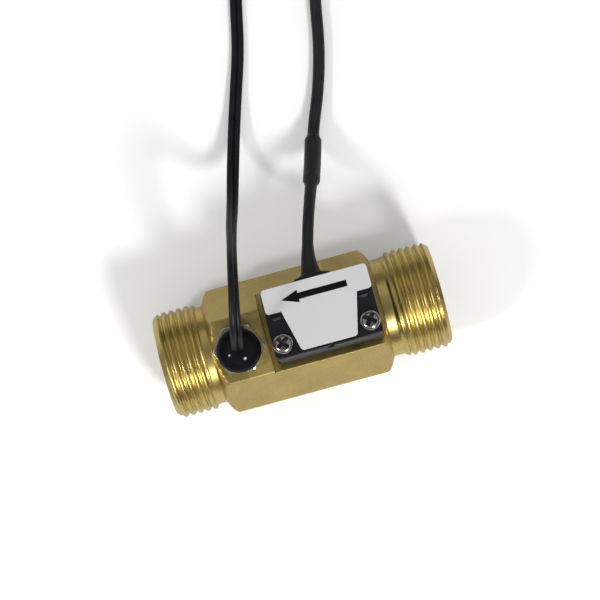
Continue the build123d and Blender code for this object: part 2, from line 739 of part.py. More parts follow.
def coil_solid(place, side, radius):
    """Outer shape of the coil with its straight lead-in."""
    middle, half_band = coil_band(radius)
    height = 2 * (radius + COIL_RISE)
    band = Pos(middle, height / 2) * RectangleRounded(
        2 * (half_band + radius), height, radius * 0.95
    )
    ring = revolve(Plane.XZ * band, axis=Axis.Z)
    lead = Cylinder(radius, COIL_STUB, align=(Align.CENTER, Align.CENTER, Align.MIN))
    enter = Pos(side * (middle + half_band), -COIL_STUB, radius + COIL_RISE)
    return place * (ring + enter * Rot(-90, 0, 0) * lead)


def coil_tie(place, radius):
    """Band round the coil's bundle with its square head on the inside."""
    middle, half_band = coil_band(radius)
    bundle = 2 * (half_band + radius)
    height = 2 * (radius + COIL_RISE)
    outer_width = bundle + 2 * TIE_THICK
    outer = Box(TIE_WIDTH, outer_width, height + TIE_THICK, align=(Align.CENTER, Align.CENTER, Align.MIN))
    inner = Pos(0, 0, TIE_THICK) * Box(
        2 * TIE_WIDTH, bundle, height - TIE_THICK, align=(Align.CENTER, Align.CENTER, Align.MIN)
    )
    head = Pos(0, -outer_width / 2, 0) * Box(
        TIE_HEAD, TIE_HEAD * 0.7, TIE_HEAD * 0.9, align=(Align.CENTER, Align.MAX, Align.MIN)
    )
    return place * Pos(0, middle, 0) * (outer - inner + head)


def tail_points(side, radius):
    """The last stretch, round from the coil's inner turn to the connector inside it, in even bends."""
    middle, half_band = coil_band(radius)
    inner_r = middle - half_band
    bend_r = inner_r - TAIL_OFFSET
    half_bend = radians(TAIL_BEND_ANGLE / 2)
    run = 2 * bend_r * tan(half_bend)
    low = radius + COIL_RISE
    entry = CONNECTOR_HEIGHT / 2
    points = []
    for bend, height in enumerate((low, (low + entry) / 2, entry, entry)):
        angle = (2 * bend + 1) * half_bend
        reach = bend_r / cos(half_bend)
        points.append((-side * (TAIL_OFFSET + reach * cos(angle)), -reach * sin(angle), height))
    last_angle = 2 * TAIL_BENDS * half_bend
    x, y, _ = points[-1]
    points.append((x + side * run * sin(last_angle), y - run * cos(last_angle), entry))
    return points


def connector_place(place, side, radius):
    """The connector's rear face, at the end of the tail and pointing on along it."""
    points = tail_points(side, radius)
    heading = Vector(points[-1]) - Vector(points[-2])
    level = Vector(heading.X, heading.Y, 0).normalized()
    rear = Plane(origin=points[-1], x_dir=(level.Y, -level.X, 0), z_dir=tuple(level))
    return place * rear.location


def connector(place, pins):
    """Crimp housing with one square cavity for each contact and a locking rib."""
    width = (pins - 1) * PIN_PITCH + 2 * CONNECTOR_SIDE_WALL
    body = Box(
        width, CONNECTOR_HEIGHT, CONNECTOR_LENGTH, align=(Align.CENTER, Align.CENTER, Align.MIN)
    )
    body = chamfer(body.edges().filter_by(Axis.Z), 0.4)
    rib = Box(width * 0.5, 0.5, CONNECTOR_LENGTH * 0.6, align=(Align.CENTER, Align.MIN, Align.MIN))
    body -= Pos(0, CONNECTOR_HEIGHT / 2 - 0.5, CONNECTOR_LENGTH * 0.2) * rib
    for index in range(pins):
        offset = (index - (pins - 1) / 2) * PIN_PITCH
        hole = Box(
            CAVITY_SIZE, CAVITY_SIZE, CONTACT_LENGTH, align=(Align.CENTER, Align.CENTER, Align.MAX)
        )
        body -= Pos(offset, 0, CONNECTOR_LENGTH) * hole
    return place * body


def contacts(place, pins):
    """Crimped sockets, one in each cavity, resting on its floor."""
    bodies = []
    for index in range(pins):
        offset = (index - (pins - 1) / 2) * PIN_PITCH
        drop = (CONTACT_SIZE - CAVITY_SIZE) / 2
        shell = Box(
            CONTACT_SIZE,
            CONTACT_SIZE,
            CONTACT_LENGTH - 0.5,
            align=(Align.CENTER, Align.CENTER, Align.MIN),
        )
        mouth = Box(
            CONTACT_SIZE * 0.5,
            CONTACT_SIZE * 0.5,
            CONTACT_LENGTH,
            align=(Align.CENTER, Align.CENTER, Align.MIN),
        )
        start = CONNECTOR_LENGTH - CONTACT_LENGTH
        socket = Pos(offset, drop, start) * (shell - Pos(0, 0, 1.5) * mouth)
        bodies.append(place * socket)
    return Compound(children=bodies)


def cord_solids(route, tube_r, place, side):
    """The run to the coil, and the tail from the coil's inner wall to the connector."""
    middle, half_band = coil_band(tube_r)
    hollow = Cylinder(middle - half_band - tube_r, 4 * CONNECTOR_HEIGHT)
    tail = place * (cord_tube(tail_points(side, tube_r), tube_r) & hollow)
    return Compound(children=[cord_tube(route, tube_r).solid(), tail.solid()])


def sleeve():
    """Shrunk sleeve that grips the signal cable over a few of its runs."""
    line = Wire(cord_line(SIGNAL_ROUTE).edges()[SLEEVE_EDGES])
    start = Plane(origin=line @ 0, z_dir=line % 0)
    wall = start * (Circle(SIGNAL_SLEEVE_R) - Circle(SIGNAL_CABLE_R))
    return sweep(wall, path=line)


def report_cords():
    """Print each cord's arc radii and compare its tube with section times length."""
    for name, route, radius in (
        ("signal cable", SIGNAL_ROUTE, SIGNAL_CABLE_R),
        ("twin lead", TWIN_ROUTE, TWIN_LEAD_R),
        ("signal tail", tail_points(-1, SIGNAL_CABLE_R), SIGNAL_CABLE_R),
        ("twin tail", tail_points(1, TWIN_LEAD_R), TWIN_LEAD_R),
    ):
        length = cord_line(route).length
        volume = cord_tube(route, radius).volume
        expected = pi * radius**2 * length
        radii = [round(value, 1) for value in corner_radii(route)]
        print(name, "length", round(length, 1), "volume", round(volume, 1), round(expected, 1), radii)
    for name, radius in (("signal", SIGNAL_CABLE_R), ("twin", TWIN_LEAD_R)):
        print(name, "coiled length", round(2 * pi * coil_band(radius)[0] * COIL_TURNS, 1))


def build_all():
    signal_place = coil_place(SIGNAL_ACROSS, -1, SIGNAL_CABLE_R)
    twin_place = coil_place(TWIN_ACROSS, 1, TWIN_LEAD_R)
    signal_coil = coil_solid(signal_place, -1, SIGNAL_CABLE_R)
    twin_coil = coil_solid(twin_place, 1, TWIN_LEAD_R)
    signal_tie = coil_tie(signal_place, SIGNAL_CABLE_R)
    twin_tie = coil_tie(twin_place, TWIN_LEAD_R)
    signal_plug = connector_place(signal_place, -1, SIGNAL_CABLE_R)
    twin_plug = connector_place(twin_place, 1, TWIN_LEAD_R)
    components = [POCKET_FLOOR * block for block in component_blocks()]
    screws = [module_screw(place) for place in screw_places()]
    return {
        "brass_body": brass_body(),
        "flow_guide": flow_guide(),
        "snap_ring": snap_ring(),
        "inlet_bush": bush(INLET_BUSH_X),
        "outlet_support": outlet_support(),
        "outlet_bush": bush(OUTLET_BUSH_X),
        "rotor": rotor(),
        "rotor_magnet": rotor_magnet(),
        "rotor_shaft": rotor_shaft(),
        "ntc_plug": ntc_plug(),
        "ntc_seal_ring": ntc_seal_ring(),
        "thermistor": thermistor(),
        "ntc_potting": ntc_potting(),
        "sensor_housing": sensor_housing(),
        "sensor_board": POCKET_FLOOR * board_block(),
        "hall_chip": POCKET_FLOOR * chip_block(),
        "board_components": Compound(children=components),
        "sensor_potting": sensor_potting(),
        "label_plate": label_plate(),
        "module_screws": Compound(children=screws),
        "cable_boot": cable_boot(),
        "signal_cable": cord_solids(SIGNAL_ROUTE, SIGNAL_CABLE_R, signal_place, -1),
        "signal_sleeve": sleeve(),
        "signal_coil": signal_coil - signal_tie,
        "signal_tie": signal_tie,
        "signal_connector": connector(signal_plug, 3),
        "signal_contacts": contacts(signal_plug, 3),
        "ntc_lead": cord_solids(TWIN_ROUTE, TWIN_LEAD_R, twin_place, 1),
        "ntc_coil": twin_coil - twin_tie,
        "ntc_tie": twin_tie,
        "ntc_connector": connector(twin_plug, 2),
        "ntc_contacts": contacts(twin_plug, 2),
    }


os.makedirs("parts", exist_ok=True)
report_cords()
for node, shape in build_all().items():
    export_step(shape, f"parts/{node}.step")
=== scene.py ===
"""Looks of the brass water flow sensor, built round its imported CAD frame. Metres, +X towards the inlet, +Z up."""

import math

import bmesh
import bpy
import numpy as np
from mathutils import Matrix, Vector


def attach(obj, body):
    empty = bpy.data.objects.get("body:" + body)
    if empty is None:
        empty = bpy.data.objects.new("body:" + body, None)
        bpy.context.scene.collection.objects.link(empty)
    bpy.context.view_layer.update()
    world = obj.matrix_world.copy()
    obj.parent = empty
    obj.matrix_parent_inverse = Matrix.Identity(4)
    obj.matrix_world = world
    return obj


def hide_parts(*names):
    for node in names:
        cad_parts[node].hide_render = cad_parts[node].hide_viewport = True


bl_info = {
    "name": "Water Flow Sensor",
    "version": (1, 0, 0),
    "blender": (4, 5, 0),
    "location": "3D Viewport > Sidebar > Flow Sensor",
    "description": "Builds the visible pieces of a brass water flow sensor",
    "category": "Object",
}

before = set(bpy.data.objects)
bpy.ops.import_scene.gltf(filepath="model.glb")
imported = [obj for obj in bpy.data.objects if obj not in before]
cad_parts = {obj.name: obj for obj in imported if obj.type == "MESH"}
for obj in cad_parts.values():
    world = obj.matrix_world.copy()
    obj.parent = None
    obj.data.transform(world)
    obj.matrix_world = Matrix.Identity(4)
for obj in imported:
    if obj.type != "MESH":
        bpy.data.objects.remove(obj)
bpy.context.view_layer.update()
MM = 0.001

# Sizes and places of the CAD frame that the new pieces follow, in millimetres and radians
AXIS_Z = 13.5
BODY_END = 35.0
HEX_FROM, HEX_TO = -22.5, 20.2
HEX_BEVEL, HEX_END_R = 2.4, 12.3
NECK_R = 12.2
TILT = math.radians(17)
POCKET_R = 10.26
MODULE_X = 5.65
EAR_TOP = 6.6
PLATEAU_TOP = 7.2
LABEL_THICK = 0.2
PLUG_X = -15.7
PLUG_FLAT_R = 5.5
PLUG_TURN = -6
STEM_R, PROBE_R = 3.98, 2.5
HEAD_FOOT_Z, HEAD_TOP_Z = 27.0, 31.0
CORD_TURN = math.radians(15.2)
SHADE_ANGLE = 35


def off_pocket(points):
    """Module coordinates (x along the pipe, v to the back, w off the pocket floor) to the scene's, in mm."""
    points = np.asarray(points, float)
    x, v, w = points[..., 0], points[..., 1], points[..., 2] + POCKET_R
    return np.stack(
        [
            x + MODULE_X,
            v * math.cos(TILT) + w * math.sin(TILT),
            AXIS_Z + w * math.cos(TILT) - v * math.sin(TILT),
        ],
        axis=-1,
    )


def on_table(across, away, height):
    """A point on the cords' side, across to the right of their heading and away along it, in mm."""
    return (
        across * math.cos(CORD_TURN) + away * math.sin(CORD_TURN),
        away * math.cos(CORD_TURN) - across * math.sin(CORD_TURN),
        height,
    )


# Settings
def size(name, default, description):
    """A length setting in metres."""
    return bpy.props.FloatProperty(
        name=name, default=default, description=description, min=0.0, max=1.0, unit="LENGTH", precision=5
    )


def colour(name, default, description):
    """A colour setting."""
    return bpy.props.FloatVectorProperty(
        name=name, default=default, description=description, size=3, min=0, max=1, subtype="COLOR"
    )


class FlowBodySettings(bpy.types.PropertyGroup):
    """Sizes and colours of the brass pipe body."""

    flats: size("Across flats", 0.027, "Width of the hexagon bar")
    thread_pitch: size("Thread pitch", 0.001889, "Distance from one thread crest to the next")
    thread_outer: size("Thread radius", 0.01322, "Radius over the thread's crests")
    thread_root: size("Thread root radius", 0.0125, "Radius at the bottom of the thread")
    edge_break: size("Edge break", 0.00006, "How much the hexagon's edges are rounded off")
    turned_brass: colour("Turned brass", (0.66, 0.52, 0.19), "Colour of the threads and necks")
    milled_brass: colour("Milled brass", (0.55, 0.42, 0.148), "Colour of the hexagon's flats")


class FlowModuleSettings(bpy.types.PropertyGroup):
    """Sizes and colours of the sensor module, its label and its strain relief."""

    housing_black: colour("Housing", (0.010, 0.0105, 0.013), "Colour of the moulded housing")
    label_grey: colour("Label", (0.69, 0.69, 0.69), "Colour of the label")
    arrow_black: colour("Arrow", (0.003, 0.003, 0.003), "Colour of the flow arrow")
    arrow_length: size("Arrow length", 0.0162, "Length of the flow arrow")
    arrow_width: size("Arrow width", 0.0016, "Thickness of the arrow's shaft")
    edge_radius: size("Edge radius", 0.00018, "Rounding of the moulded edges")


class FlowCordSettings(bpy.types.PropertyGroup):
    """Sizes and colours of the two cords."""

    signal_width: size("Signal cable width", 0.003, "Width of the signal cable")
    twin_width: size("Twin lead width", 0.0032, "Width of the two-core lead")
    sleeve_width: size("Sleeve width", 0.0043, "Width of the sleeve on the signal cable")
    jacket_black: colour("Jacket", (0.008, 0.0085, 0.0105), "Colour of the cords' jackets")


# Meshes
def linked(name, mesh):
    """A mesh's object in the scene, unturned and at the origin."""
    piece = bpy.data.objects.new(name, mesh)
    bpy.context.scene.collection.objects.link(piece)
    return piece


def grid_object(name, points, closed_u=False, closed_v=True, face_slots=None, smooth_angle=SHADE_ANGLE):
    """A surface from a grid of points in mm.

    A closed direction joins its last line to its first. Slots are by row or by face.
    """
    rows, columns = points.shape[:2]
    here = np.arange(rows * columns).reshape(rows, columns)
    down, right = np.roll(here, -1, 0), np.roll(here, -1, 1)
    quads = np.stack([here, down, np.roll(down, -1, 1), right], axis=-1)
    quads = quads[: rows if closed_u else rows - 1, : columns if closed_v else columns - 1]
    mesh = bpy.data.meshes.new(name)
    mesh.from_pydata((points.reshape(-1, 3) * MM).tolist(), [], quads.reshape(-1, 4).tolist())
    if face_slots is not None:
        slots = np.asarray(face_slots)[: quads.shape[0]]
        slots = np.repeat(slots, quads.shape[1]) if slots.ndim == 1 else slots[:, : quads.shape[1]].ravel()
        mesh.polygons.foreach_set("material_index", slots.astype(np.int32))
    close_up(mesh, smooth_angle)
    return linked(name, mesh)


def close_up(mesh, smooth_angle):
    """Weld seams and poles, drop empty faces, turn the faces outwards and shade by angle."""
    work = bmesh.new()
    work.from_mesh(mesh)
    bmesh.ops.remove_doubles(work, verts=work.verts, dist=2e-7)
    bmesh.ops.dissolve_degenerate(work, dist=1e-8, edges=work.edges)
    bmesh.ops.recalc_face_normals(work, faces=work.faces)
    work.to_mesh(mesh)
    work.free()
    mesh.shade_smooth()
    mesh.set_sharp_from_angle(angle=math.radians(smooth_angle))


def joined(name, first, second):
    """One piece of two, under one name."""
    work = bmesh.new()
    work.from_mesh(first.data)
    work.from_mesh(second.data)
    work.to_mesh(first.data)
    work.free()
    bpy.data.objects.remove(second)
    first.name = name
    return first


def node_copy(node, name, edge):
    """A CAD node's shape as a piece of its own: doubles merged, flat faces joined, edges rounded."""
    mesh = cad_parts[node].data.copy()
    mesh.name = name
    work = bmesh.new()
    work.from_mesh(mesh)
    bmesh.ops.remove_doubles(work, verts=work.verts, dist=1e-6)
    bmesh.ops.dissolve_limit(
        work, angle_limit=math.radians(0.5), verts=work.verts, edges=work.edges, delimit={"SHARP"}
    )
    work.to_mesh(mesh)
    work.free()
    mesh.shade_smooth()
    mesh.set_sharp_from_angle(angle=math.radians(SHADE_ANGLE))
    piece = linked(name, mesh)
    if edge:
        bevel = piece.modifiers.new("rounded edges", "BEVEL")
        bevel.width = edge
        bevel.segments = 3
        bevel.limit_method = "ANGLE"
        bevel.angle_limit = math.radians(40)
        bevel.harden_normals = True
    return piece


def vertex_places(mesh):
    """The mesh's vertices as rows of x, y and z, in metres."""
    places = np.empty(len(mesh.vertices) * 3)
    mesh.vertices.foreach_get("co", places)
    return places.reshape(-1, 3)


def smooth_lead(points, name):
    """Points read along the smooth line whose control points are given in mm, in mm."""
    curve = bpy.data.curves.new(name, "CURVE")
    curve.dimensions = "3D"
    spline = curve.splines.new("NURBS")
    spline.points.add(len(points) - 1)
    for point, place in zip(spline.points, points):
        point.co = (*(value * MM for value in place), 1)
    spline.order_u = 3
    spline.use_endpoint_u = True
    curve.resolution_u = 6
    carrier = bpy.data.objects.new(name, curve)
    mesh = bpy.data.meshes.new_from_object(carrier)
    line = vertex_places(mesh) / MM
    bpy.data.objects.remove(carrier)
    bpy.data.curves.remove(curve)
    bpy.data.meshes.remove(mesh)
    return line


def full_turn(count):
    """Angles evenly round a full turn."""
    return np.linspace(0, 2 * math.pi, count, endpoint=False)


def cross_directions(line, side):
    """Two unit directions across a line at each of its points, carried along without turning."""
    tangents = np.gradient(line, axis=0)
    tangents /= np.linalg.norm(tangents, axis=1, keepdims=True)
    sides = np.empty_like(line)
    current = np.asarray(side, float)
    for index, tangent in enumerate(tangents):
        current = current - tangent * current.dot(tangent)
        current = current / np.linalg.norm(current)
        sides[index] = current
    return sides, np.cross(tangents, sides)


def with_ends(rings, middles):
    """Rings closed at both ends by fans to two middles."""
    first, last = (np.repeat(middle[None, None], rings.shape[1], axis=1) for middle in middles)
    return np.concatenate([first, rings, last])


def along_line(line, side, outline, scale=None, turn=None):
    """An outline of (side, up) points carried along a line and closed at both ends.

    At each point it is grown by scale and turned by an angle.
    """
    sides, ups = cross_directions(line, side)
    scale = np.ones(len(line)) if scale is None else scale
    turn = np.zeros(len(line)) if turn is None else turn
    a, b = outline[:, 0][None, :], outline[:, 1][None, :]
    c, s = np.cos(turn)[:, None], np.sin(turn)[:, None]
    first, second = (a * c - b * s) * scale[:, None], (a * s + b * c) * scale[:, None]
    grid = line[:, None, :] + first[..., None] * sides[:, None, :] + second[..., None] * ups[:, None, :]
    return with_ends(grid, line[[0, -1]])


def distance_along(line):
    """The length of the line up to each of its points."""
    steps = np.linalg.norm(np.diff(line, axis=0), axis=1)
    return np.concatenate([[0], np.cumsum(steps)])


# Materials
def node_group(name, inputs, outputs):
    """A shader group with number or colour sockets, given as (name, kind, default)."""
    group = bpy.data.node_groups.new(name, "ShaderNodeTree")
    for label, kind, value in inputs:
        socket = group.interface.new_socket(name=label, in_out="INPUT", socket_type=kind)
        socket.default_value = value
    for label, kind in outputs:
        group.interface.new_socket(name=label, in_out="OUTPUT", socket_type=kind)
    return group, group.nodes.new("NodeGroupInput"), group.nodes.new("NodeGroupOutput")


def place_node(tree, kind, links=(), **settings):
    """Add a node; links are (input, output socket or value), settings are its properties."""
    node = tree.nodes.new(kind)
    for key, value in settings.items():
        setattr(node, key, value)
    for key, value in dict(links).items():
        if isinstance(value, bpy.types.NodeSocket):
            tree.links.new(value, node.inputs[key])
        else:
            node.inputs[key].default_value = value
    return node


def noise(tree, vector, scale, **more):
    """Noise over a vector, as a value."""
    return place_node(tree, "ShaderNodeTexNoise", {"Vector": vector, "Scale": scale, **more}).outputs["Fac"]


def ranged(tree, value, low, high, to_low=0.0, to_high=1.0):
    """A value carried over from one range to another, and held within it."""
    ends = {"From Min": low, "From Max": high, "To Min": to_low, "To Max": to_high}
    return place_node(tree, "ShaderNodeMapRange", {"Value": value, **ends}).outputs[0]


def blended(tree, share, first, second):
    """Two colours mixed by a share of the second."""
    return place_node(tree, "ShaderNodeMix", {0: share, 6: first, 7: second}, data_type="RGBA").outputs[2]


def stretched(group, given):
    """Object coordinates as they are, and multiplied by the group's Stretch."""
    coords = place_node(group, "ShaderNodeTexCoord").outputs["Object"]
    links = {0: coords, 1: given.outputs["Stretch"]}
    return coords, place_node(group, "ShaderNodeVectorMath", links, operation="MULTIPLY").outputs[0]


def grain_group():
    """Fine grain with slow blotches: a height for bump, a fine mask and a slow mask, all from Object coordinates."""
    group, given, out = node_group(
        "fine grain",
        [
            ("Scale", "NodeSocketFloat", 3000.0),
            ("Blotch Scale", "NodeSocketFloat", 150.0),
            ("Stretch", "NodeSocketVector", (1.0, 1.0, 1.0)),
        ],
        [("Height", "NodeSocketFloat"), ("Grain", "NodeSocketFloat"), ("Blotch", "NodeSocketFloat")],
    )
    coords, spread = stretched(group, given)
    grain = noise(group, spread, given.outputs["Scale"], Detail=4.0, Roughness=0.6)
    blotch = noise(group, coords, given.outputs["Blotch Scale"], Detail=3.0, Roughness=0.55)
    for label, value in (("Height", grain), ("Grain", grain), ("Blotch", blotch)):
        group.links.new(value, out.inputs[label])
    return group


def marks_group():
    """Sparse fine marks: thin bands of a stretched noise, kept where a second noise is high."""
    group, given, out = node_group(
        "handling marks",
        [
            ("Scale", "NodeSocketFloat", 400.0),
            ("Stretch", "NodeSocketVector", (1.0, 1.0, 1.0)),
            ("Amount", "NodeSocketFloat", 0.5),
        ],
        [("Marks", "NodeSocketFloat")],
    )
    coords, spread = stretched(group, given)
    total = ranged(group, noise(group, spread, given.outputs["Scale"], Detail=2.0, Distortion=0.6), 0.62, 0.72)
    kept = ranged(group, noise(group, coords, 90.0, Detail=1.0), 0.45, 0.65)
    for other in (kept, given.outputs["Amount"]):
        total = place_node(group, "ShaderNodeMath", {0: total, 1: other}, operation="MULTIPLY").outputs[0]
    group.links.new(total, out.inputs["Marks"])
    return group


GROUPS = {}


def effect(tree, kind, **values):
    """Place the grain or marks group in a material with its own values."""
    if kind not in GROUPS:
        GROUPS[kind] = {"grain": grain_group, "marks": marks_group}[kind]()
    node = tree.nodes.new("ShaderNodeGroup")
    node.node_tree = GROUPS[kind]
    for key, value in values.items():
        node.inputs[key.replace("_", " ")].default_value = value
    return node


def finish_of(
    name,
    base,
    roughness,
    metallic=0.0,
    shade=0.12,
    rough_spread=0.12,
    scale=3000.0,
    blotch=150.0,
    stretch=(1, 1, 1),
    bump=0.00001,
    marks=0.0,
    mark_stretch=(1, 1, 1),
    coat=0.0,
    level=0.5,
):
    """A finish with grain bump, blotched colour and roughness, and fine marks on top."""
    material = bpy.data.materials.new(name)
    material.use_nodes = True
    tree = material.node_tree
    shader = tree.nodes["Principled BSDF"]
    plain = {"Metallic": metallic, "Specular IOR Level": level, "IOR": 1.45, "Coat Weight": coat}
    for socket, value in {**plain, "Coat Roughness": 0.08}.items():
        shader.inputs[socket].default_value = value
    grain = effect(tree, "grain", Scale=scale, Blotch_Scale=blotch, Stretch=stretch)
    dark = tuple(value * (1 - shade) for value in base)
    light = tuple(min(1.0, value * (1 + shade)) for value in base)
    mixed = place_node(
        tree, "ShaderNodeMath", {0: grain.outputs["Grain"], 1: grain.outputs["Blotch"]}, operation="ADD"
    )
    tone = blended(tree, ranged(tree, mixed.outputs[0], 0.7, 1.3), (*dark, 1), (*light, 1))
    least, most = max(0.02, roughness - rough_spread / 2), min(1.0, roughness + rough_spread / 2)
    rough = ranged(tree, grain.outputs["Blotch"], 0.3, 0.7, least, most)
    if marks:
        scratch = effect(tree, "marks", Amount=marks, Stretch=mark_stretch)
        worn = tuple(min(1.0, value * 1.6 + 0.02) for value in base)
        tone = blended(tree, scratch.outputs["Marks"], tone, (*worn, 1))
    raised = place_node(
        tree, "ShaderNodeBump", {"Height": grain.outputs["Height"], "Strength": 1.0, "Distance": bump}
    )
    tree.links.new(tone, shader.inputs["Base Color"])
    tree.links.new(rough, shader.inputs["Roughness"])
    tree.links.new(raised.outputs["Normal"], shader.inputs["Normal"])
    return material


def dress(piece, *materials):
    """Give a piece its finishes slot by slot, and leave each face in its slot."""
    slots = piece.data.materials
    for index, material in enumerate(materials):
        if index < len(slots):
            slots[index] = material
        else:
            slots.append(material)


def dress_nodes(nodes, *finish, **values):
    """Give CAD nodes one finish without touching their meshes."""
    material = finish_of(*finish, **values)
    for node in nodes:
        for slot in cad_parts[node].material_slots:
            slot.link = "OBJECT"
            slot.material = material


# Brass body
def plane_angle(direction_1, distance_1, direction_2, distance_2):
    """Angle at which two flats, given by their directions in degrees and distances from the axis, meet."""
    a, b = math.radians(direction_1), math.radians(direction_2)
    matrix = np.array([[math.cos(a), math.sin(a)], [math.cos(b), math.sin(b)]])
    y, z = np.linalg.solve(matrix, [distance_1, distance_2])
    return math.atan2(z, y)


def flat_radius(theta, directions, distances, sharpness):
    """Radius of a prism's outline: the soft least of distance / cos(angle from each flat)."""
    usual, least_cos, far = 12, 0.3, 60.0
    total = np.zeros_like(theta)
    for direction, distance in zip(directions, distances):
        away = np.cos(theta - math.radians(direction))
        reach = np.where(away > least_cos, distance / np.maximum(away, least_cos), far)
        total += np.exp(-sharpness * (reach - usual))
    return usual - np.log(total) / sharpness


def thread_radius(x, theta, start, pitch, root, outer):
    """A thread's radius, with broad crests and narrow round roots.

    It follows a cosine of x / pitch less theta in turns, and has a crest at start.
    """
    phase = (x - start) / pitch - theta / (2 * math.pi)
    off_crest = 0.5 - 0.5 * np.cos(2 * math.pi * phase)
    return root + (outer - root) * (1 - off_crest**1.6)


# Where the threads run out and the pocket begins along the pipe, rings to a pitch, and the threads' end chamfer, in mm
OUTLET_RUN_OUT, INLET_RUN_OUT = -24.1, 22.6
POCKET_FROM = -8.9
THREAD_STEPS = 18
THREAD_END_R, THREAD_CHAMFER = 12.0, 1.4


class FLOW_OT_body(bpy.types.Operator):
    """Build the brass pipe body with its hexagon, threads, pocket and stepped bore"""

    bl_idname = "flow.body"
    bl_label = "Brass Body"

    def execute(self, context):
        told = context.scene.flow_body
        half = told.flats / MM / 2
        pitch, outer, root = told.thread_pitch / MM, told.thread_outer / MM, told.thread_root / MM
        sharpness = math.log(2) / (told.edge_break / MM)
        flats = [30, 90, 150, 210, 270, 330]
        pocket_direction = 90 - math.degrees(TILT)
        corners = [math.radians(60 * i) for i in range(6)]
        corners += [plane_angle(flat, half, pocket_direction, POCKET_R) % (2 * math.pi) for flat in (30, 150)]
        near = np.radians([-2.2, -1.1, -0.4, 0.0, 0.4, 1.1, 2.2])
        theta = np.concatenate([np.add.outer(corners, near).ravel(), np.radians(np.arange(0, 360, 2.5))])
        theta = np.unique(np.round(theta % (2 * math.pi), 4))
        theta = theta[np.concatenate([[True], np.diff(theta) > 0.004])]

        bar = flat_radius(theta, flats, [half] * 6, sharpness)
        cut = flat_radius(theta, flats + [pocket_direction], [half] * 6 + [POCKET_R], sharpness)

        def cone(x, near_x, far_x):
            """The turned end of the hexagon: full at near_x, least at far_x, bulging a little between."""
            corner = half / math.cos(math.pi / 6)
            return HEX_END_R + (corner - HEX_END_R) * (1 - (1 - (x - far_x) / (near_x - far_x)) ** 1.6)

        rows, slots = [], []

        def ring(x, radius, slot):
            """One ring of the surface at x, and the finish of the faces that follow it."""
            rows.append(np.stack([np.full_like(theta, x), radius * np.cos(theta), AXIS_Z + radius * np.sin(theta)], -1))
            slots.append(slot)

        flat_ring = np.ones_like(theta)

        def thread(places, end, run_out, run_out_length, crest):
            """Rings of a thread: it grows out of the neck at its run-out and shrinks to the chamfer at its end."""
            for x in places:
                limit = THREAD_END_R + (outer - THREAD_END_R) * min(1.0, abs(end - x) / THREAD_CHAMFER)
                grown = np.clip(abs(x - run_out) / run_out_length, 0, 1)
                shape = thread_radius(x, theta, crest, pitch, root, outer)
                ring(x, np.minimum(limit, NECK_R + (shape - NECK_R) * grown), 1)

        ring(-BODY_END, flat_ring * 8.6, 1)
        outlet_places = np.arange(-BODY_END, OUTLET_RUN_OUT + 1e-6, pitch / THREAD_STEPS)
        thread(outlet_places, -BODY_END, OUTLET_RUN_OUT, run_out_length=0.9, crest=-24.59)
        ring(HEX_FROM, flat_ring * NECK_R, 1)
        outlet_bevel = HEX_FROM + HEX_BEVEL
        for x in np.linspace(HEX_FROM, outlet_bevel, 7):
            ring(x, np.minimum(bar, cone(x, outlet_bevel, HEX_FROM)), 0)
        for x in np.linspace(outlet_bevel + 0.2, POCKET_FROM, 6):
            ring(x, bar, 0)
        relief = np.where(bar - cut > 0.05, cut - 0.45, cut)
        ring(POCKET_FROM, relief, 0)
        ring(POCKET_FROM + 0.3, relief, 0)
        inlet_bevel = HEX_TO - HEX_BEVEL
        for x in np.linspace(POCKET_FROM + 0.35, inlet_bevel, 10):
            ring(x, cut, 0)
        for x in np.linspace(inlet_bevel, HEX_TO, 7)[1:]:
            ring(x, np.minimum(cut, cone(x, inlet_bevel, HEX_TO)), 0)
        ring(HEX_TO, flat_ring * NECK_R, 1)
        ring(INLET_RUN_OUT - 0.2, flat_ring * NECK_R, 1)
        inlet_places = np.append(np.arange(INLET_RUN_OUT, BODY_END, pitch / THREAD_STEPS), BODY_END)
        thread(inlet_places, BODY_END, INLET_RUN_OUT, run_out_length=1.7, crest=24.6)
        bore = [
            (BODY_END, 9.5), (34.4, 8.9), (25.0, 8.9), (16.0, 8.9), (16.0, 9.25), (15.0, 9.25), (15.0, 8.9),
            (7.0, 8.9), (7.0, 8.5), (-7.0, 8.5), (-7.0, 8.0), (-20.0, 8.0), (-34.4, 8.0),
        ]
        for x, radius in bore:
            ring(x, flat_ring * radius, 2)
        piece = grid_object("threaded_body", np.array(rows), True, face_slots=slots, smooth_angle=28)
        self.smooth_threads(piece.data, root)
        dress(
            piece,
            finish_of(
                "milled brass", told.milled_brass, 0.36, 1.0, shade=0.17, rough_spread=0.14, scale=2400.0,
                blotch=140.0, bump=0.000022, marks=0.3, mark_stretch=(1.0, 0.12, 0.12),
            ),
            finish_of(
                "turned brass", told.turned_brass, 0.3, 1.0, shade=0.14, rough_spread=0.12, scale=2600.0,
                blotch=190.0, stretch=(1.6, 0.3, 0.3), bump=0.0000018,
            ),
            finish_of(
                "bored brass", told.turned_brass, 0.3, 1.0, shade=0.12, scale=2600.0, stretch=(2, 0.2, 0.2),
                bump=0.000008,
            ),
        )
        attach(piece, "root")
        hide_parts("brass_body")
        return {"FINISHED"}

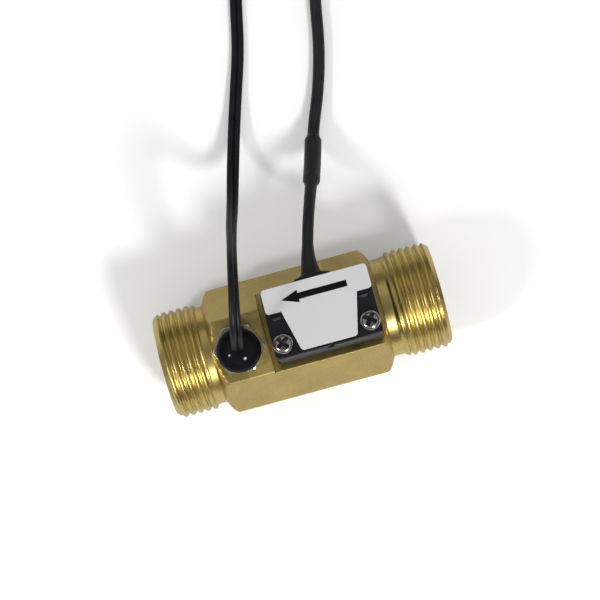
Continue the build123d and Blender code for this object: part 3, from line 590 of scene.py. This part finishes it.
    def smooth_threads(self, mesh, root):
        """Take the sharp marks off the edges that lie on a thread, so that its roots shade round."""
        places = vertex_places(mesh) / MM
        x, radius = places[:, 0], np.hypot(places[:, 1], places[:, 2] - AXIS_Z)
        threaded = (radius > root - 0.05) & ((x < OUTLET_RUN_OUT - 0.1) | (x > INLET_RUN_OUT + 0.1))
        threaded &= np.abs(x) < BODY_END - 0.1
        ends = np.empty(len(mesh.edges) * 2, np.int32)
        mesh.edges.foreach_get("vertices", ends)
        on_thread = threaded[ends.reshape(-1, 2)].all(1)
        marks = mesh.attributes.get("sharp_edge")
        sharp = np.empty(len(mesh.edges), bool)
        marks.data.foreach_get("value", sharp)
        marks.data.foreach_set("value", sharp & ~on_thread)


# Temperature plug
# The resin dome's radius, its height and how far its middle lies before the plug's, in mm
DOME_R, DOME_RISE = 5.36, 2.75
DOME_OFF = 0.3


class FLOW_OT_plug(bpy.types.Operator):
    """Build the plated plug head and the resin dome that stands on it"""

    bl_idname = "flow.plug"
    bl_label = "Temperature Plug"

    def execute(self, context):
        head = self.plug()
        dress(
            head,
            finish_of(
                "plated plug", (0.52, 0.49, 0.42), 0.2, 1.0, shade=0.08, rough_spread=0.12, scale=2400.0,
                blotch=500.0, bump=0.000003, marks=0.3, mark_stretch=(1, 0.2, 1),
            ),
        )
        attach(head, "root")
        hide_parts("ntc_plug")
        self.dome()
        return {"FINISHED"}

    def plug(self):
        """Radius over angle and height: a closed probe, a round stem, then a hexagon cut by a cone at its top edge."""
        edge_round, corner_cut_r = 0.26, 5.95
        angle = np.radians(np.arange(0, 360, 1.5))
        directions = [30 + 60 * side + PLUG_TURN for side in range(6)]
        hexagon = flat_radius(angle, directions, [PLUG_FLAT_R] * 6, 12.0)
        round_ring = np.ones_like(angle)
        below = [
            (0.0, 12.5), (1.0, 12.5), (1.9, 12.75), (2.35, 13.2), (PROBE_R, 14.0), (PROBE_R, 21.5),
            (STEM_R, 21.5), (STEM_R, HEAD_FOOT_Z),
        ]
        rings = [(radius * round_ring, height) for radius, height in below]
        rings += [(np.minimum(hexagon, 5.75), HEAD_FOOT_Z), (np.minimum(hexagon, 6.2), 27.3)]
        rings += [(hexagon, height) for height in (27.6, 28.6, 29.6, 30.3)]
        for turn in np.radians(np.linspace(0, 90, 7)):
            drop = edge_round * (1 - math.sin(turn))
            shrink = edge_round * (1 - math.cos(turn))
            rings.append((np.minimum(hexagon - shrink, corner_cut_r + 1.7 * drop - shrink), HEAD_TOP_Z - drop))
        rings += [(4.9 * round_ring, HEAD_TOP_Z), (0.0 * round_ring, HEAD_TOP_Z)]
        grid = [
            np.stack([PLUG_X + r * np.cos(angle), r * np.sin(angle), np.full_like(angle, z)], -1) for r, z in rings
        ]
        return grid_object("plug_head", np.array(grid), smooth_angle=25)

    def dome(self):
        """Radius and height over angle and share: part of a ball, a little uneven."""
        angle = full_turn(96)
        share = np.concatenate([[0, 0.02, 0.05], np.linspace(0.08, 1, 40)])
        reach = DOME_R * (1 + 0.008 * np.sin(2 * angle + 0.6) + 0.006 * np.sin(3 * angle + 2.0))
        radius = np.outer(np.sin(share * math.pi / 2), reach)
        ball = (DOME_R**2 + DOME_RISE**2) / (2 * DOME_RISE)
        rise = np.sqrt(np.maximum(ball**2 - (radius * DOME_R / reach) ** 2, 0)) - (ball - DOME_RISE)
        grid = np.stack(
            [
                PLUG_X + radius * np.cos(angle),
                radius * np.sin(angle) - DOME_OFF,
                HEAD_TOP_Z + rise - 0.02,
            ],
            -1,
        )
        foot = grid[-1].copy()
        foot[:, 2] = HEAD_TOP_Z - 0.4
        inner = foot.copy()
        inner[:, :2] = (PLUG_X, -DOME_OFF)
        dome = grid_object("resin_dome", np.concatenate([grid, foot[None], inner[None]]), smooth_angle=50)
        dress(
            dome,
            finish_of(
                "glossy resin", (0.006, 0.006, 0.007), 0.08, shade=0.2, rough_spread=0.04, scale=500.0,
                blotch=200.0, bump=0.000008, level=0.14,
            ),
        )
        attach(dome, "root")
        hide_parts("ntc_potting")


# Sensor module
# Places in the module's own frame, in mm
PAD_X, PAD_V = 10.8, -0.4
SCREW_X, SCREW_V = 10.75, -7.0
SCREW_HEAD_R = 2.5


class FLOW_OT_module(bpy.types.Operator):
    """Build the moulded housing, its label, the pads in its ear slots and the flow arrow"""

    bl_idname = "flow.module"
    bl_label = "Sensor Module"

    def execute(self, context):
        told = context.scene.flow_module
        housing = node_copy("sensor_housing", "moulded_housing", told.edge_radius)
        dress(
            housing,
            finish_of(
                "moulded housing", told.housing_black, 0.3, shade=0.2, rough_spread=0.14, scale=2600.0,
                blotch=130.0, bump=0.000014, level=0.32,
            ),
        )
        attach(housing, "root")
        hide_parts("sensor_housing")

        label = node_copy("label_plate", "bare_label", 0.00005)
        self.widen(label.data)
        dress(
            label,
            finish_of(
                "label film", told.label_grey, 0.42, shade=0.02, rough_spread=0.08, scale=5000.0, blotch=80.0,
                bump=0.000004, coat=0.15,
            ),
        )
        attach(label, "root")
        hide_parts("label_plate")

        pads = self.slot_pads()
        dress(pads, finish_of("slot pad", (0.055, 0.056, 0.06), 0.55, shade=0.35, scale=1500.0, bump=0.00004))
        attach(pads, "root")

        length, half = told.arrow_length / MM, told.arrow_width / MM / 2
        tip, middle_v = -2.86 - MODULE_X, 3.47
        head, head_half = 4.2, 1.6
        outline = np.array(
            [
                (tip, 0), (tip + head, head_half), (tip + head, half), (tip + length, half),
                (tip + length, -half), (tip + head, -half), (tip + head, -head_half),
            ]
        )
        top = PLATEAU_TOP + LABEL_THICK + 0.03
        low, high = (
            off_pocket(np.column_stack([outline[:, 0], outline[:, 1] + middle_v, np.full(len(outline), w)]))
            for w in (top - 0.05, top)
        )
        arrow = self.prism(low, high)
        dress(
            arrow,
            finish_of("printed arrow", told.arrow_black, 0.5, shade=0.1, scale=3000.0, bump=0.000003, level=0.2),
        )
        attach(arrow, "root")
        return {"FINISHED"}

    def widen(self, mesh):
        """Stretch the label's inlet half a little: x grows by a share of its distance from the module's middle."""
        places = vertex_places(mesh)
        places[:, 0] += 0.027 * np.maximum(places[:, 0] - MODULE_X * MM, 0)
        mesh.vertices.foreach_set("co", places.ravel())

    def slot_pads(self):
        """Two crowned pads in the ear slots: a rounded rectangle by angle, its height falling with the fourth power."""
        angle = full_turn(48)
        corner_x = np.sign(np.cos(angle)) * np.abs(np.cos(angle)) ** 0.3
        corner_v = np.sign(np.sin(angle)) * np.abs(np.sin(angle)) ** 0.3
        share = np.linspace(0, 1, 9)[:, None]
        floor = 5.86
        meshes = []
        for side in (-1, 1):
            top = np.stack(
                [
                    side * PAD_X + 1.14 * share * corner_x,
                    PAD_V + 0.5 * share * corner_v,
                    6.28 + 0.14 * (1 - share**4) + 0 * angle,
                ],
                -1,
            )
            foot = top[-1] * (1, 1, 0) + (0, 0, floor)
            middle = foot * 0 + (side * PAD_X, PAD_V, floor)
            local = np.concatenate([top, foot[None], middle[None]])
            meshes.append(grid_object("slot_pads", off_pocket(local), smooth_angle=50))
        return joined("slot_pads", *meshes)

    def prism(self, low, high):
        """A flat sign: the same outline low and high, with walls between them."""
        count = len(low)
        ring = np.arange(count)
        walls = np.stack([ring, np.roll(ring, -1), np.roll(ring, -1) + count, ring + count], -1).tolist()
        mesh = bpy.data.meshes.new("flow_arrow")
        faces = [ring[::-1].tolist(), (ring + count).tolist(), *walls]
        mesh.from_pydata((np.concatenate([low, high]) * MM).tolist(), [], faces)
        close_up(mesh, 30)
        return linked("flow_arrow", mesh)


class FLOW_OT_screws(bpy.types.Operator):
    """Build the two plated module screws with their cross recesses"""

    bl_idname = "flow.screws"
    bl_label = "Module Screws"

    def execute(self, context):
        screws = self.pair()
        dress(
            screws,
            finish_of(
                "plated screw", (0.40, 0.39, 0.38), 0.2, 1.0, shade=0.10, rough_spread=0.12, scale=2200.0,
                blotch=520.0, bump=0.000002,
            ),
            # The second finish is painted shade: a dark colour laid into the cross recess, where the shade falls.
            finish_of("screw recess painted shade", (0.05, 0.047, 0.045), 0.5, 0.6, shade=0.2, scale=2200.0, bump=0.000004),
        )
        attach(screws, "root")
        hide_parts("module_screws")
        return {"FINISHED"}

    def pair(self):
        """Two heads: height over angle and radius is a low dome less a cross whose depth fades along its arms."""
        arm_half, arm_reach, core_r = 0.50, 1.72, 0.85
        angle = full_turn(128)
        radius = np.concatenate([np.linspace(0, 1.8, 34), np.linspace(1.86, SCREW_HEAD_R, 18)])
        r, a = np.meshgrid(radius, angle, indexing="ij")
        share = r / SCREW_HEAD_R
        height = EAR_TOP + 0.7 + 1.25 * np.clip(1 - share**3.2, 0, 1) ** 0.55
        meshes = []
        for side, turn in ((-1, 35.0), (1, 52.0)):
            x, y = r * np.cos(a - math.radians(turn)), r * np.sin(a - math.radians(turn))
            across, along = np.minimum(np.abs(x), np.abs(y)), np.maximum(np.abs(x), np.abs(y))
            arm = np.clip((arm_half - across) / 0.12, 0, 1) * np.clip((arm_reach - along) / 0.2, 0, 1)
            core = np.clip((core_r - r) / 0.25, 0, 1)
            cross = np.maximum(arm * (1.3 - 0.4 * along), core * 1.15)
            face = np.stack([r * np.cos(a), r * np.sin(a), height - cross], -1)
            wall = [face[-1] * (1, 1, 0) + (0, 0, z) for z in (7.1, 6.75)]
            foot = [face[-1] * (inwards, inwards, 0) + (0, 0, EAR_TOP) for inwards in (0.97, 0)]
            local = np.concatenate([face, np.array([*wall, *foot])])
            local = local + (side * SCREW_X, SCREW_V, 0)
            # Faces of the cross deeper than 0.12 mm take the second slot, the painted shade of the recess.
            inside = np.zeros(local.shape[:2], int)
            inside[: len(radius)] = cross > 0.12
            meshes.append(grid_object("pan_head_screws", off_pocket(local), face_slots=inside, smooth_angle=45))
        return joined("pan_head_screws", *meshes)


# Cords: routes in mm
SIGNAL_START = ((6.70, 19.74, 21.64), (8.07, 24.54, 20.17))
SIGNAL_ROUTE = [
    *SIGNAL_START,
    (9.9, 29.9, 16.4),
    (11.9, 35.3, 10.8),
    (13.8, 41.1, 6.0),
    (15.8, 48.1, 2.9),
    on_table(3.9, 60.0, 1.7),
    on_table(4.2, 71.5, 1.6),
    on_table(3.0, 83.5, 1.6),
    on_table(3.0, 93.5, 1.6),
]
TWIN_ROUTE = [
    (-15.7, 0.0, 32.6),
    (-15.3, 2.2, 38.3),
    (-14.2, 7.4, 41.9),
    (-12.7, 14.0, 42.2),
    (-11.5, 20.1, 38.7),
    (-10.7, 24.7, 31.2),
    (-10.0, 28.9, 22.4),
    (-8.7, 33.9, 13.9),
    (-6.9, 41.2, 7.4),
    (-4.4, 50.2, 3.4),
    on_table(-17.0, 58.5, 1.5),
    on_table(-16.3, 70.5, 1.0),
    on_table(-17.0, 83.0, 0.9),
    on_table(-17.0, 93.5, 0.9),
]
SIGNAL_ACROSS, TWIN_ACROSS = 3.0, -17.0
COIL_AWAY = 104.5
COIL_HALF_BAND = 2.55
COIL_TURNS = 1.5
TURN_POINTS = 14
TAIL_OFFSET = 4.95
TAIL_BEND = 30  # degrees
PLUG_AXIS_Z = 2.3


def wound_route(route, side, lead_across, middle, height):
    """The route with its coil and its tail: turns that step in by a width each, then even bends to the connector."""
    centre_across = lead_across - side * (middle + COIL_HALF_BAND)
    count = int(COIL_TURNS * TURN_POINTS)
    points = list(route)
    for index in range(count + 1):
        share = index / count
        angle = share * COIL_TURNS * 2 * math.pi
        radius = middle + COIL_HALF_BAND * (1 - 2 * share)
        points.append(
            on_table(centre_across + side * radius * math.cos(angle), COIL_AWAY + radius * math.sin(angle), height)
        )
    bend_r = middle - COIL_HALF_BAND - TAIL_OFFSET
    reach = bend_r / math.cos(math.radians(TAIL_BEND / 2))
    rises = (height, (height + PLUG_AXIS_Z) / 2, PLUG_AXIS_Z, PLUG_AXIS_Z)
    for bend, rise in enumerate(rises):
        angle = math.radians((bend + 0.5) * TAIL_BEND)
        across, away = -side * (TAIL_OFFSET + reach * math.cos(angle)), -reach * math.sin(angle)
        points.append(on_table(centre_across + across, COIL_AWAY + away, rise))
    run = 2 * bend_r * math.tan(math.radians(TAIL_BEND / 2))
    angle = math.radians(len(rises) * TAIL_BEND)
    across += side * run * math.sin(angle)
    away -= run * math.cos(angle)
    points.append(on_table(centre_across + across, COIL_AWAY + away, PLUG_AXIS_Z))
    return points


class FLOW_OT_signal(bpy.types.Operator):
    """Build the signal cable with its moulded strain relief and sleeve"""

    bl_idname = "flow.signal"
    bl_label = "Signal Cable"

    def execute(self, context):
        told = context.scene.flow_cords
        jacket = finish_of(
            "signal jacket", told.jacket_black, 0.42, shade=0.25, rough_spread=0.14, scale=3200.0, blotch=300.0,
            bump=0.00001,
        )
        rubber = finish_of(
            "boot rubber", told.jacket_black, 0.46, shade=0.2, rough_spread=0.14, scale=2600.0, bump=0.000014
        )
        boot = self.boot()
        dress(boot, rubber)
        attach(boot, "root")
        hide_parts("cable_boot")

        points = wound_route(SIGNAL_ROUTE, -1, SIGNAL_ACROSS, 15.0, 1.6)
        line = smooth_lead(points, "signal line")
        reach = distance_along(line)
        angle = full_turn(20)
        circle = np.column_stack([np.cos(angle), np.sin(angle)])
        jacket_ring = circle * (told.signal_width / MM / 2)
        grown = np.interp(reach, [0, 10, 18, 30], [0.93, 0.94, 1.0, 1.0])
        surface = along_line(line, (1, 0, 0), jacket_ring, grown)
        cable = grid_object("round_cable", surface, smooth_angle=60)
        dress(cable, jacket)
        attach(cable, "root")
        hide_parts("signal_cable", "signal_coil")

        inside = (reach > 16.9) & (reach < 34)
        part = line[inside]
        along = (reach[inside] - reach[inside][0]) / (reach[inside][-1] - reach[inside][0])
        rounded = 1 - 0.28 * np.exp(-along / 0.02) - 0.28 * np.exp(-(1 - along) / 0.02)
        surface = along_line(part, (1, 0, 0), circle * told.sleeve_width / MM / 2, rounded)
        sleeve = grid_object("shrunk_sleeve", surface, smooth_angle=60)
        dress(
            sleeve,
            finish_of("shrunk sleeve", (0.014, 0.014, 0.015), 0.38, shade=0.2, scale=1800.0, bump=0.00002),
        )
        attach(sleeve, "root")
        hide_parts("signal_sleeve")
        return {"FINISHED"}

    def boot(self):
        """Flange and tail: a rounded outline carried along v, the cable's way out.

        Its half width and half height are read from a table, and its sideways lean grows with the square of v.
        """
        v = np.array([7.3, 7.5, 7.9, 8.25, 8.45, 8.6, 8.75, 9.0, 9.4, 10.0, 11.0, 12.3, 13.8, 15.2, 16.6, 17.4])
        wide = np.array([5.05, 5.05, 5.0, 4.7, 4.2, 3.6, 3.2, 2.8, 2.5, 2.3, 2.1, 1.9, 1.7, 1.55, 1.45, 1.38])
        high = np.array([2.6, 2.6, 2.58, 2.5, 2.42, 2.35, 2.25, 2.2, 2.1, 2.1, 2.0, 1.84, 1.68, 1.54, 1.45, 1.38])
        square = np.interp(v, [8.6, 9.3], [0.55, 1.0])
        lean = 1.05 * np.clip((v - 8.8) / 7.7, 0, 1.2) ** 2
        angle = full_turn(48)
        c, s = np.cos(angle), np.sin(angle)
        x = lean[:, None] + wide[:, None] * np.sign(c) * np.abs(c) ** square[:, None]
        w = 3.3 + high[:, None] * np.sign(s) * np.abs(s) ** square[:, None]
        grid = off_pocket(np.stack([x, np.repeat(v[:, None], len(angle), 1), w], -1))
        surface = with_ends(grid, [grid[i].mean(0) for i in (0, -1)])
        piece = grid_object("moulded_boot", surface, smooth_angle=50)
        soft = piece.modifiers.new("smooth", "SUBSURF")
        soft.levels = soft.render_levels = 1
        return piece


class FLOW_OT_twin(bpy.types.Operator):
    """Build the temperature sensor's two-core lead"""

    bl_idname = "flow.twin"
    bl_label = "Twin Lead"

    def execute(self, context):
        told = context.scene.flow_cords
        line = smooth_lead(wound_route(TWIN_ROUTE, 1, TWIN_ACROSS, 16.0, 0.9), "twin line")
        reach = distance_along(line)
        core = told.twin_width / MM / 4
        outline = self.figure_eight(core)
        turn = np.radians(np.interp(reach, [0, 4, 10, 20, 34, 50, 66, 80], [0, 6, 30, 46, 50, 34, 8, 0]))
        surface = along_line(line, (1, 0, 0), outline, None, turn)
        lead = grid_object("twin_core_lead", surface, smooth_angle=60)
        dress(
            lead,
            finish_of(
                "twin jacket", told.jacket_black, 0.38, level=0.3, shade=0.25, rough_spread=0.14, scale=3000.0,
                blotch=300.0, bump=0.00001,
            ),
        )
        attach(lead, "root")
        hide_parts("ntc_lead", "ntc_coil")
        return {"FINISHED"}

    def figure_eight(self, core):
        """Two touching circles of one radius, joined by a narrow waist."""
        half = np.radians(np.linspace(-160, 160, 19))
        right = np.column_stack([core * 0.97 + core * np.cos(half), core * np.sin(half)])
        return np.concatenate([right, -right])


# Finishes of the CAD nodes that are shown as they are
class FLOW_OT_finishes(bpy.types.Operator):
    """Give each CAD node that stays visible its own finish"""

    bl_idname = "flow.finishes"
    bl_label = "Node Finishes"

    def execute(self, context):
        dress_nodes(
            ["flow_guide", "outlet_support"], "guide plastic", (0.75, 0.74, 0.70), 0.4, shade=0.06, scale=1800.0,
            bump=0.00001,
        )
        dress_nodes(["rotor"], "rotor plastic", (0.80, 0.79, 0.76), 0.32, shade=0.05, scale=1500.0, bump=0.000008)
        dress_nodes(["inlet_bush", "outlet_bush"], "bush plastic", (0.30, 0.29, 0.26), 0.4, scale=1500.0, bump=0.00001)
        dress_nodes(
            ["rotor_magnet"], "ferrite magnet", (0.035, 0.035, 0.038), 0.55, shade=0.3, scale=5000.0, bump=0.00003
        )
        dress_nodes(
            ["rotor_shaft"], "shaft steel", (0.62, 0.62, 0.63), 0.16, 1.0, stretch=(3, 0.3, 0.3), bump=0.000003
        )
        dress_nodes(["snap_ring"], "spring steel", (0.35, 0.34, 0.33), 0.3, 1.0, shade=0.2, bump=0.00001, marks=0.4)
        dress_nodes(["ntc_seal_ring"], "seal rubber", (0.012, 0.012, 0.012), 0.6, bump=0.00001)
        dress_nodes(["thermistor"], "bead coat", (0.02, 0.02, 0.024), 0.2, shade=0.2)
        dress_nodes(["sensor_potting"], "potting resin", (0.014, 0.014, 0.015), 0.25, scale=700.0)
        dress_nodes(["sensor_board"], "board lacquer", (0.01, 0.09, 0.035), 0.3, coat=0.4)
        dress_nodes(["hall_chip"], "chip body", (0.02, 0.02, 0.022), 0.5, bump=0.00001)
        dress_nodes(["board_components"], "component body", (0.42, 0.27, 0.14), 0.4)
        dress_nodes(
            ["signal_tie", "ntc_tie"], "tie nylon", (0.75, 0.75, 0.72), 0.35, shade=0.04, scale=1500.0, bump=0.00001
        )
        dress_nodes(
            ["signal_connector", "ntc_connector"], "connector nylon", (0.78, 0.77, 0.72), 0.38, shade=0.05,
            scale=1800.0, bump=0.00001,
        )
        dress_nodes(
            ["signal_contacts", "ntc_contacts"], "contact tin", (0.62, 0.56, 0.42), 0.28, 1.0, shade=0.15,
            bump=0.000006,
        )
        return {"FINISHED"}


# Stage
FLOOR_HALF = 1500
EYE = (0.0061, 0.0116, 0.5135)
AIM = (0.00135, 0.0073, 0.0135)
LENS = 121.5


class FLOW_OT_stage(bpy.types.Operator):
    """Set up the pale floor, the soft lights, the world and the camera"""

    bl_idname = "flow.stage"
    bl_label = "Stage"

    def execute(self, context):
        scene = context.scene
        scene.view_settings.view_transform = "Standard"
        self.floor()
        self.world(scene)
        self.lamp("front softbox", (0.15, -0.42, 0.48), 0.12, 2.2)
        self.lamp("left softbox", (-0.46, -0.10, 0.46), 0.10, 1.1)
        camera = bpy.data.cameras.new("view from above")
        camera.lens = LENS
        camera.sensor_width = 36
        camera.clip_start = 0.01
        carrier = bpy.data.objects.new("view from above", camera)
        scene.collection.objects.link(carrier)
        back = (Vector(EYE) - Vector(AIM)).normalized()
        up = Vector((math.sin(CORD_TURN), math.cos(CORD_TURN), 0))
        right = up.cross(back).normalized()
        up = back.cross(right)
        carrier.matrix_world = Matrix.Translation(EYE) @ Matrix((right, up, back)).transposed().to_4x4()
        scene.camera = carrier
        return {"FINISHED"}

    def floor(self):
        """A flat pale sheet under the sensor: white to the camera, pale to the light that it returns."""
        edge = np.linspace(-FLOOR_HALF, FLOOR_HALF, 5)
        across, away = np.meshgrid(edge, edge, indexing="ij")
        floor = grid_object("pale_floor", np.stack([across, away, np.zeros_like(across)], -1), closed_v=False)
        material = bpy.data.materials.new("pale floor")
        material.use_nodes = True
        tree = material.node_tree
        shader = tree.nodes["Principled BSDF"]
        ray = place_node(tree, "ShaderNodeLightPath")
        tone = blended(tree, ray.outputs["Is Camera Ray"], (0.68, 0.68, 0.68, 1), (0.97, 0.97, 0.97, 1))
        tree.links.new(tone, shader.inputs["Base Color"])
        shader.inputs["Roughness"].default_value = 0.7
        shader.inputs["Specular IOR Level"].default_value = 0.2
        shader.inputs["Emission Color"].default_value = (1, 1, 1, 1)
        lift = place_node(tree, "ShaderNodeMath", {0: ray.outputs["Is Camera Ray"], 1: 0.10}, operation="MULTIPLY")
        tree.links.new(lift.outputs[0], shader.inputs["Emission Strength"])
        floor.data.materials.append(material)
        floor.data.update()

    def world(self, scene):
        """White to the camera; reflections see a bright sky above a darker horizon."""
        world = bpy.data.worlds.new("studio")
        world.use_nodes = True
        tree = world.node_tree
        plain = tree.nodes["Background"]
        plain.inputs["Color"].default_value = (1, 1, 1, 1)
        plain.inputs["Strength"].default_value = 0.5
        heading = place_node(tree, "ShaderNodeTexCoord").outputs["Generated"]
        height = place_node(tree, "ShaderNodeSeparateXYZ", {0: heading}).outputs["Z"]
        ramp = place_node(tree, "ShaderNodeValToRGB", {"Fac": height})
        steps = ramp.color_ramp.elements
        steps[0].position, steps[0].color = 0.0, (0.10, 0.09, 0.08, 1)
        steps[1].position, steps[1].color = 0.42, (0.12, 0.11, 0.10, 1)
        for position, value in ((0.55, 0.5), (0.8, 0.42), (0.96, 0.16)):
            steps.new(position).color = (value, value, value, 1)
        mirror = place_node(tree, "ShaderNodeBackground", {"Color": ramp.outputs["Color"], "Strength": 1.0})
        white = place_node(tree, "ShaderNodeBackground", {"Color": (1, 1, 1, 1), "Strength": 1.0})
        ray = place_node(tree, "ShaderNodeLightPath")
        seen = plain.outputs[0]
        for kind, other in (("Is Glossy Ray", mirror), ("Is Camera Ray", white)):
            links = {0: ray.outputs[kind], 1: seen, 2: other.outputs[0]}
            seen = place_node(tree, "ShaderNodeMixShader", links).outputs[0]
        tree.links.new(seen, tree.nodes["World Output"].inputs["Surface"])
        scene.world = world

    def lamp(self, name, place, width, power):
        """A round soft light at a place, turned to the sensor."""
        light = bpy.data.lights.new(name, "AREA")
        light.shape = "DISK"
        light.size = width
        light.energy = power
        carrier = bpy.data.objects.new(name, light)
        bpy.context.scene.collection.objects.link(carrier)
        carrier.location = place
        carrier.rotation_mode = "QUATERNION"
        carrier.rotation_quaternion = (Vector((0, 0, 0.015)) - Vector(place)).to_track_quat("-Z", "Y")


STEPS = ("body", "plug", "module", "screws", "signal", "twin", "finishes", "stage")


class FLOW_PT_panel(bpy.types.Panel):
    """Buttons for the sensor's pieces and its stage"""

    bl_idname = "FLOW_PT_panel"
    bl_label = "Water Flow Sensor"
    bl_space_type = "VIEW_3D"
    bl_region_type = "UI"
    bl_category = "Flow Sensor"

    def draw(self, context):
        for name in ("flow_body", "flow_module", "flow_cords"):
            settings = getattr(context.scene, name)
            column = self.layout.column()
            for key in settings.__annotations__:
                column.prop(settings, key)
        for step in STEPS:
            self.layout.operator(f"flow.{step}")


SETTINGS = {"flow_body": FlowBodySettings, "flow_module": FlowModuleSettings, "flow_cords": FlowCordSettings}
CLASSES = (
    *SETTINGS.values(),
    FLOW_OT_body,
    FLOW_OT_plug,
    FLOW_OT_module,
    FLOW_OT_screws,
    FLOW_OT_signal,
    FLOW_OT_twin,
    FLOW_OT_finishes,
    FLOW_OT_stage,
    FLOW_PT_panel,
)


def register():
    """Make the classes and the settings known to Blender."""
    for item in CLASSES:
        bpy.utils.register_class(item)
    for name, item in SETTINGS.items():
        setattr(bpy.types.Scene, name, bpy.props.PointerProperty(type=item))


def unregister():
    """Take the settings and the classes out again."""
    for name in SETTINGS:
        delattr(bpy.types.Scene, name)
    for item in reversed(CLASSES):
        bpy.utils.unregister_class(item)


def main():
    """Build every piece and the stage in order."""
    register()
    for step in STEPS:
        getattr(bpy.ops.flow, step)()


if __name__ == "__main__":
    main()
